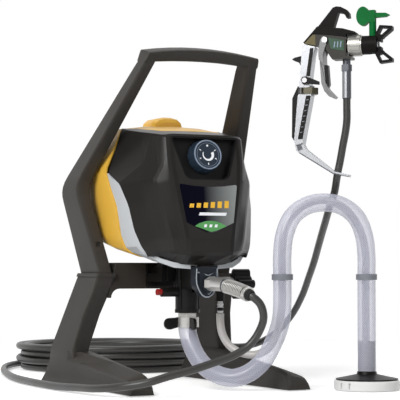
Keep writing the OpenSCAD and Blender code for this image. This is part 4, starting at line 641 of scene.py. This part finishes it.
TOP = -1.1  # depth of the plate's face
lens = [(-24, -24.2), (-17, -20.2), (-8, -17.6), (0, -16.8), (8, -17.6), (17, -20.2), (24, -24.2), (8, -30.2),
        (0, -32)]
plate("label_lens", lens, TOP + 0.1, TOP - 0.25, at_label, M["lens_green"], "sprayer", 0.08)
for k in range(3):
    x = -8 + k * 8
    plate("lens_bar_%d" % k, [(x - 2.6, -25.8), (x + 1.4, -25.8), (x + 2.6, -21.8), (x - 1.4, -21.8)],
          TOP, TOP - 0.35, at_label, M["print_white"], "sprayer", 0.05)
for k in range(6):
    x = -27 + k * 10.6
    h = 5.5 + k * 0.9
    plate("label_bar_%d" % k, [(x - 3.8, 1), (x + 2.6, 1), (x + 3.8, 1 + h), (x - 2.6, 1 + h)],
          TOP + 0.1, TOP - 0.2, at_label, M["orange"], "sprayer", 0.06)
plate("label_line", [(-17, -9.6), (24, -9.6), (25.5, -5.4), (-15.5, -5.4)], TOP + 0.1, TOP - 0.2, at_label,
      M["print_white"], "sprayer", 0.06)

# ---------- pump front: painted highlights along the rim and cap edges, and painted light on one facet ---

SHIELD_Y, HIGHLIGHT_RIM_R, HIGHLIGHT_CAP_R = -127.0, 0.00085, 0.0008
# thin lines of the lighter cast copy along the shield's rim and top edges: painted highlights
highlight_rim_pts = [(-15.4, 166.5), (-15.4, 146.4), (-13.6, 140.6), (-3.2, 128.2), (3.2, 128.2), (13.6, 140.6),
           (15.4, 146.4), (15.4, 166.5)]
highlight_rim_path = smooth_path([Vector((x, SHIELD_Y - 0.4, z)) for x, z in highlight_rim_pts], 3)
tube_mesh("block_rim_painted_highlight", [P(*p) for p in highlight_rim_path], HIGHLIGHT_RIM_R, 10, M["cast_light"], "sprayer")
for sgn in (-1, 1):
    tube_mesh("block_cap_%s" % ("l" if sgn < 0 else "r"),
              [P(sgn * x, SHIELD_Y - out, z) for x, out, z in
               ((14.6, 0.5, 161.8), (7, 2.6, 159.4), (0.2, 4.4, 157.2))],
              HIGHLIGHT_CAP_R, 10, M["cast_light"], "sprayer")
# the right half of the shield's face in the lighter cast copy: painted light on one facet
plate("block_facet_painted_light", [(1.2, 131.4), (3.6, 131), (12.6, 141.8), (14.2, 147), (14.2, 160.6), (1.2, 156.6)],
      SHIELD_Y + 0.3, SHIELD_Y - 1.1, P, M["cast_light"], "sprayer", 0.3)

# ---------- gun details ----------


def at_gun(x, y, z):
    return P(*gun_raw(x, y, z))


SIDES = ((-1, "near"), (1, "far"))
for side, nm in SIDES:
    plate("badge_%s" % nm, [(-18.2, 76.6), (4.8, 72), (4.8, 57), (-13.8, 60.4)], side * 10.9, side * 11.5, at_gun,
          M["badge"], "sprayer", 0.2)
    for k in range(3):
        x = -8.6 + k * 4.4
        plate("badge_bar_%s_%d" % (nm, k), [(x - 1.2, 62.4), (x + 0.4, 62.1), (x + 1.4, 70.2), (x - 0.2, 70.5)],
              side * 11.4, side * 11.75, at_gun, M["dial_rim"], "sprayer", 0.05)
    plate("khaki_%s" % nm, [(-51.2, 70), (-39.4, 81.4), (-35.6, 81.1), (-35.4, 66), (-50.6, 69)], side * 10.9,
          side * 11.4, at_gun, M["khaki"], "sprayer", 0.2)
    for k in range(7):
        f = (k + 0.6) / 7.6
        x, z = -46.2 - 11.9 * f, -4.5 - 57 * f
        plate("notch_%s_%d" % (nm, k),
              [(x - 1.6, z - 0.7), (x + 1.9, z - 0.2), (x + 1.9, z + 0.9), (x - 1.6, z + 0.4)],
              side * 11.1, side * 11.5, at_gun, M["grey"], "sprayer", 0.05)

# painted shade along the underside of the guard strip, and the dark faces of its bracket
plate("strip_painted_shade", [(-60, -81.5), (-12, -111.2), (9.5, -115.8), (9.5, -116.6), (-12.2, -112.4), (-60.4, -82.5)],
      -7.6, 7.6, at_gun, M["nut_dark"], "sprayer", 0.1)
for side, nm in SIDES:
    plate("bracket_face_%s" % nm, [(-63.5, -71.5), (-57.5, -70.6), (-54.8, -77), (-60.3, -80.2), (-62.6, -78.2)],
          side * 6.9, side * 7.5, at_gun, M["nut_dark"], "sprayer", 0.2)

# light ring in the mouth of the tip guard
MOUTH_R = 6.2
ring_pts = [at_gun(50.6, MOUTH_R * math.cos(a), 65 + MOUTH_R * math.sin(a))
            for a in (math.radians(10 * i) for i in range(37))]
tube_mesh("mouth_ring", ring_pts, 0.0009, 8, M["alu"], "guard")

# painted reflection: a bright strip down the near side of the sleeve of the hose inlet
bm = bmesh.new()
cols = []
for i in range(9):
    a = math.radians(-90 - 17 + (i - 4) * 7.5)
    row = []
    for r, z in ((6.1, -7.4), (6.45, -7), (6.45, 29), (6.1, 29.4)):
        row.append(bm.verts.new(at_gun(6 + r * math.cos(a), r * math.sin(a), z)))
    cols.append(row)
for i in range(8):
    for j in range(3):
        bm.faces.new((cols[i][j], cols[i + 1][j], cols[i + 1][j + 1], cols[i][j + 1]))
bmesh.ops.recalc_face_normals(bm, faces=bm.faces)
add("sleeve_painted_reflection", mesh_of("sleeve_painted_reflection", bm), M["alu"], "sprayer")

# ---------- floor, world and light ----------

FLOOR_LIFT = 0.45  # brightness added to the floor where it is the background
FADE_FROM, FADE_TO = 0.75, 1.5  # the floor turns pure white between these distances, in metres
ROOM_DARK, ROOM_LIGHT = 0.2, 0.22  # the room in reflections on the near side, and its light on surfaces

bm = bmesh.new()
bmesh.ops.create_grid(bm, x_segments=8, y_segments=8, size=14)
floor_mesh = mesh_of("floor", bm)
floor = bpy.data.objects.new("floor", floor_mesh)
floor.location = (0, 0, -0.0003)
scene.collection.objects.link(floor)


def seen_rays(n, l):
    """1 for rays that show the background: from the camera, in a gloss, or through something clear."""
    lp = n.new("ShaderNodeLightPath")
    out = lp.outputs["Is Camera Ray"]
    for kind in ("Is Glossy Ray", "Is Transmission Ray"):
        out = maths(n, l, "MAXIMUM", out, lp.outputs[kind])
    return out


fm = bpy.data.materials.new("floor")
fm.use_nodes = True
n, l = fm.node_tree.nodes, fm.node_tree.links
bsdf = n["Principled BSDF"]
bsdf.inputs["Base Color"].default_value = (0.9, 0.9, 0.9, 1)
bsdf.inputs["Roughness"].default_value = 0.9
bsdf.inputs["Specular IOR Level"].default_value = 0.1
seen = seen_rays(n, l)
em = n.new("ShaderNodeEmission")
l.new(maths(n, l, "MULTIPLY", seen, FLOOR_LIFT), em.inputs["Strength"])
near = n.new("ShaderNodeAddShader")
l.new(bsdf.outputs[0], near.inputs[0])
l.new(em.outputs[0], near.inputs[1])
white = n.new("ShaderNodeEmission")
tc = n.new("ShaderNodeTexCoord")
ln = n.new("ShaderNodeVectorMath")
ln.operation = "LENGTH"
l.new(tc.outputs["Object"], ln.inputs[0])
fade = ranged(n, l, ln.outputs["Value"], (FADE_FROM, FADE_TO), smooth=True)
blend = n.new("ShaderNodeMixShader")
l.new(maths(n, l, "MULTIPLY", fade, seen), blend.inputs[0])
l.new(near.outputs[0], blend.inputs[1])
l.new(white.outputs[0], blend.inputs[2])
l.new(blend.outputs[0], n["Material Output"].inputs["Surface"])
floor_mesh.materials.append(fm)

world = bpy.data.worlds.new("world")
scene.world = world
world.use_nodes = True
n, l = world.node_tree.nodes, world.node_tree.links
bg = n["Background"]
bg.inputs["Color"].default_value = (1, 1, 1, 1)
lp = n.new("ShaderNodeLightPath")
# the room is white behind the object and darker on the side it is looked at from
tc = n.new("ShaderNodeTexCoord")
dot = n.new("ShaderNodeVectorMath")
dot.operation = "DOT_PRODUCT"
dot.inputs[1].default_value = (0.44, 0.9, -0.1)
l.new(tc.outputs["Generated"], dot.inputs[0])
room = ranged(n, l, dot.outputs["Value"], (-0.3, 0.7), (ROOM_DARK, 1.0), smooth=True)
gloss = n.new("ShaderNodeMix")
gloss.inputs[2].default_value = ROOM_LIGHT
l.new(lp.outputs["Is Glossy Ray"], gloss.inputs[0])
l.new(room, gloss.inputs[3])
seen = maths(n, l, "MAXIMUM", lp.outputs["Is Camera Ray"], lp.outputs["Is Transmission Ray"])
level = n.new("ShaderNodeMix")
level.inputs[3].default_value = 1.0
l.new(seen, level.inputs[0])
l.new(gloss.outputs[0], level.inputs[2])
l.new(level.outputs[0], bg.inputs["Strength"])


def area(name, loc, target, size, power):
    """Rectangular lamp that points at a target."""
    d = bpy.data.lights.new(name, "AREA")
    d.energy = power
    d.shape = "RECTANGLE"
    d.size, d.size_y = size
    o = bpy.data.objects.new(name, d)
    scene.collection.objects.link(o)
    o.location = loc
    o.rotation_euler = (Vector(target) - Vector(loc)).to_track_quat("-Z", "Y").to_euler()


area("key", (-2.4, -1.6, 2.0), (0, 0, 0.25), (1.5, 1.5), 98)
area("fill", (1.3, -2.8, 1.2), (0, 0, 0.25), (1.4, 1.4), 6)
area("top", (0.1, 0.3, 2.6), (0, 0, 0.2), (2.0, 2.0), 18)
area("side", (2.5, 0.1, 0.9), (0, 0, 0.25), (0.5, 1.6), 5)

scene.view_settings.view_transform = "Standard"
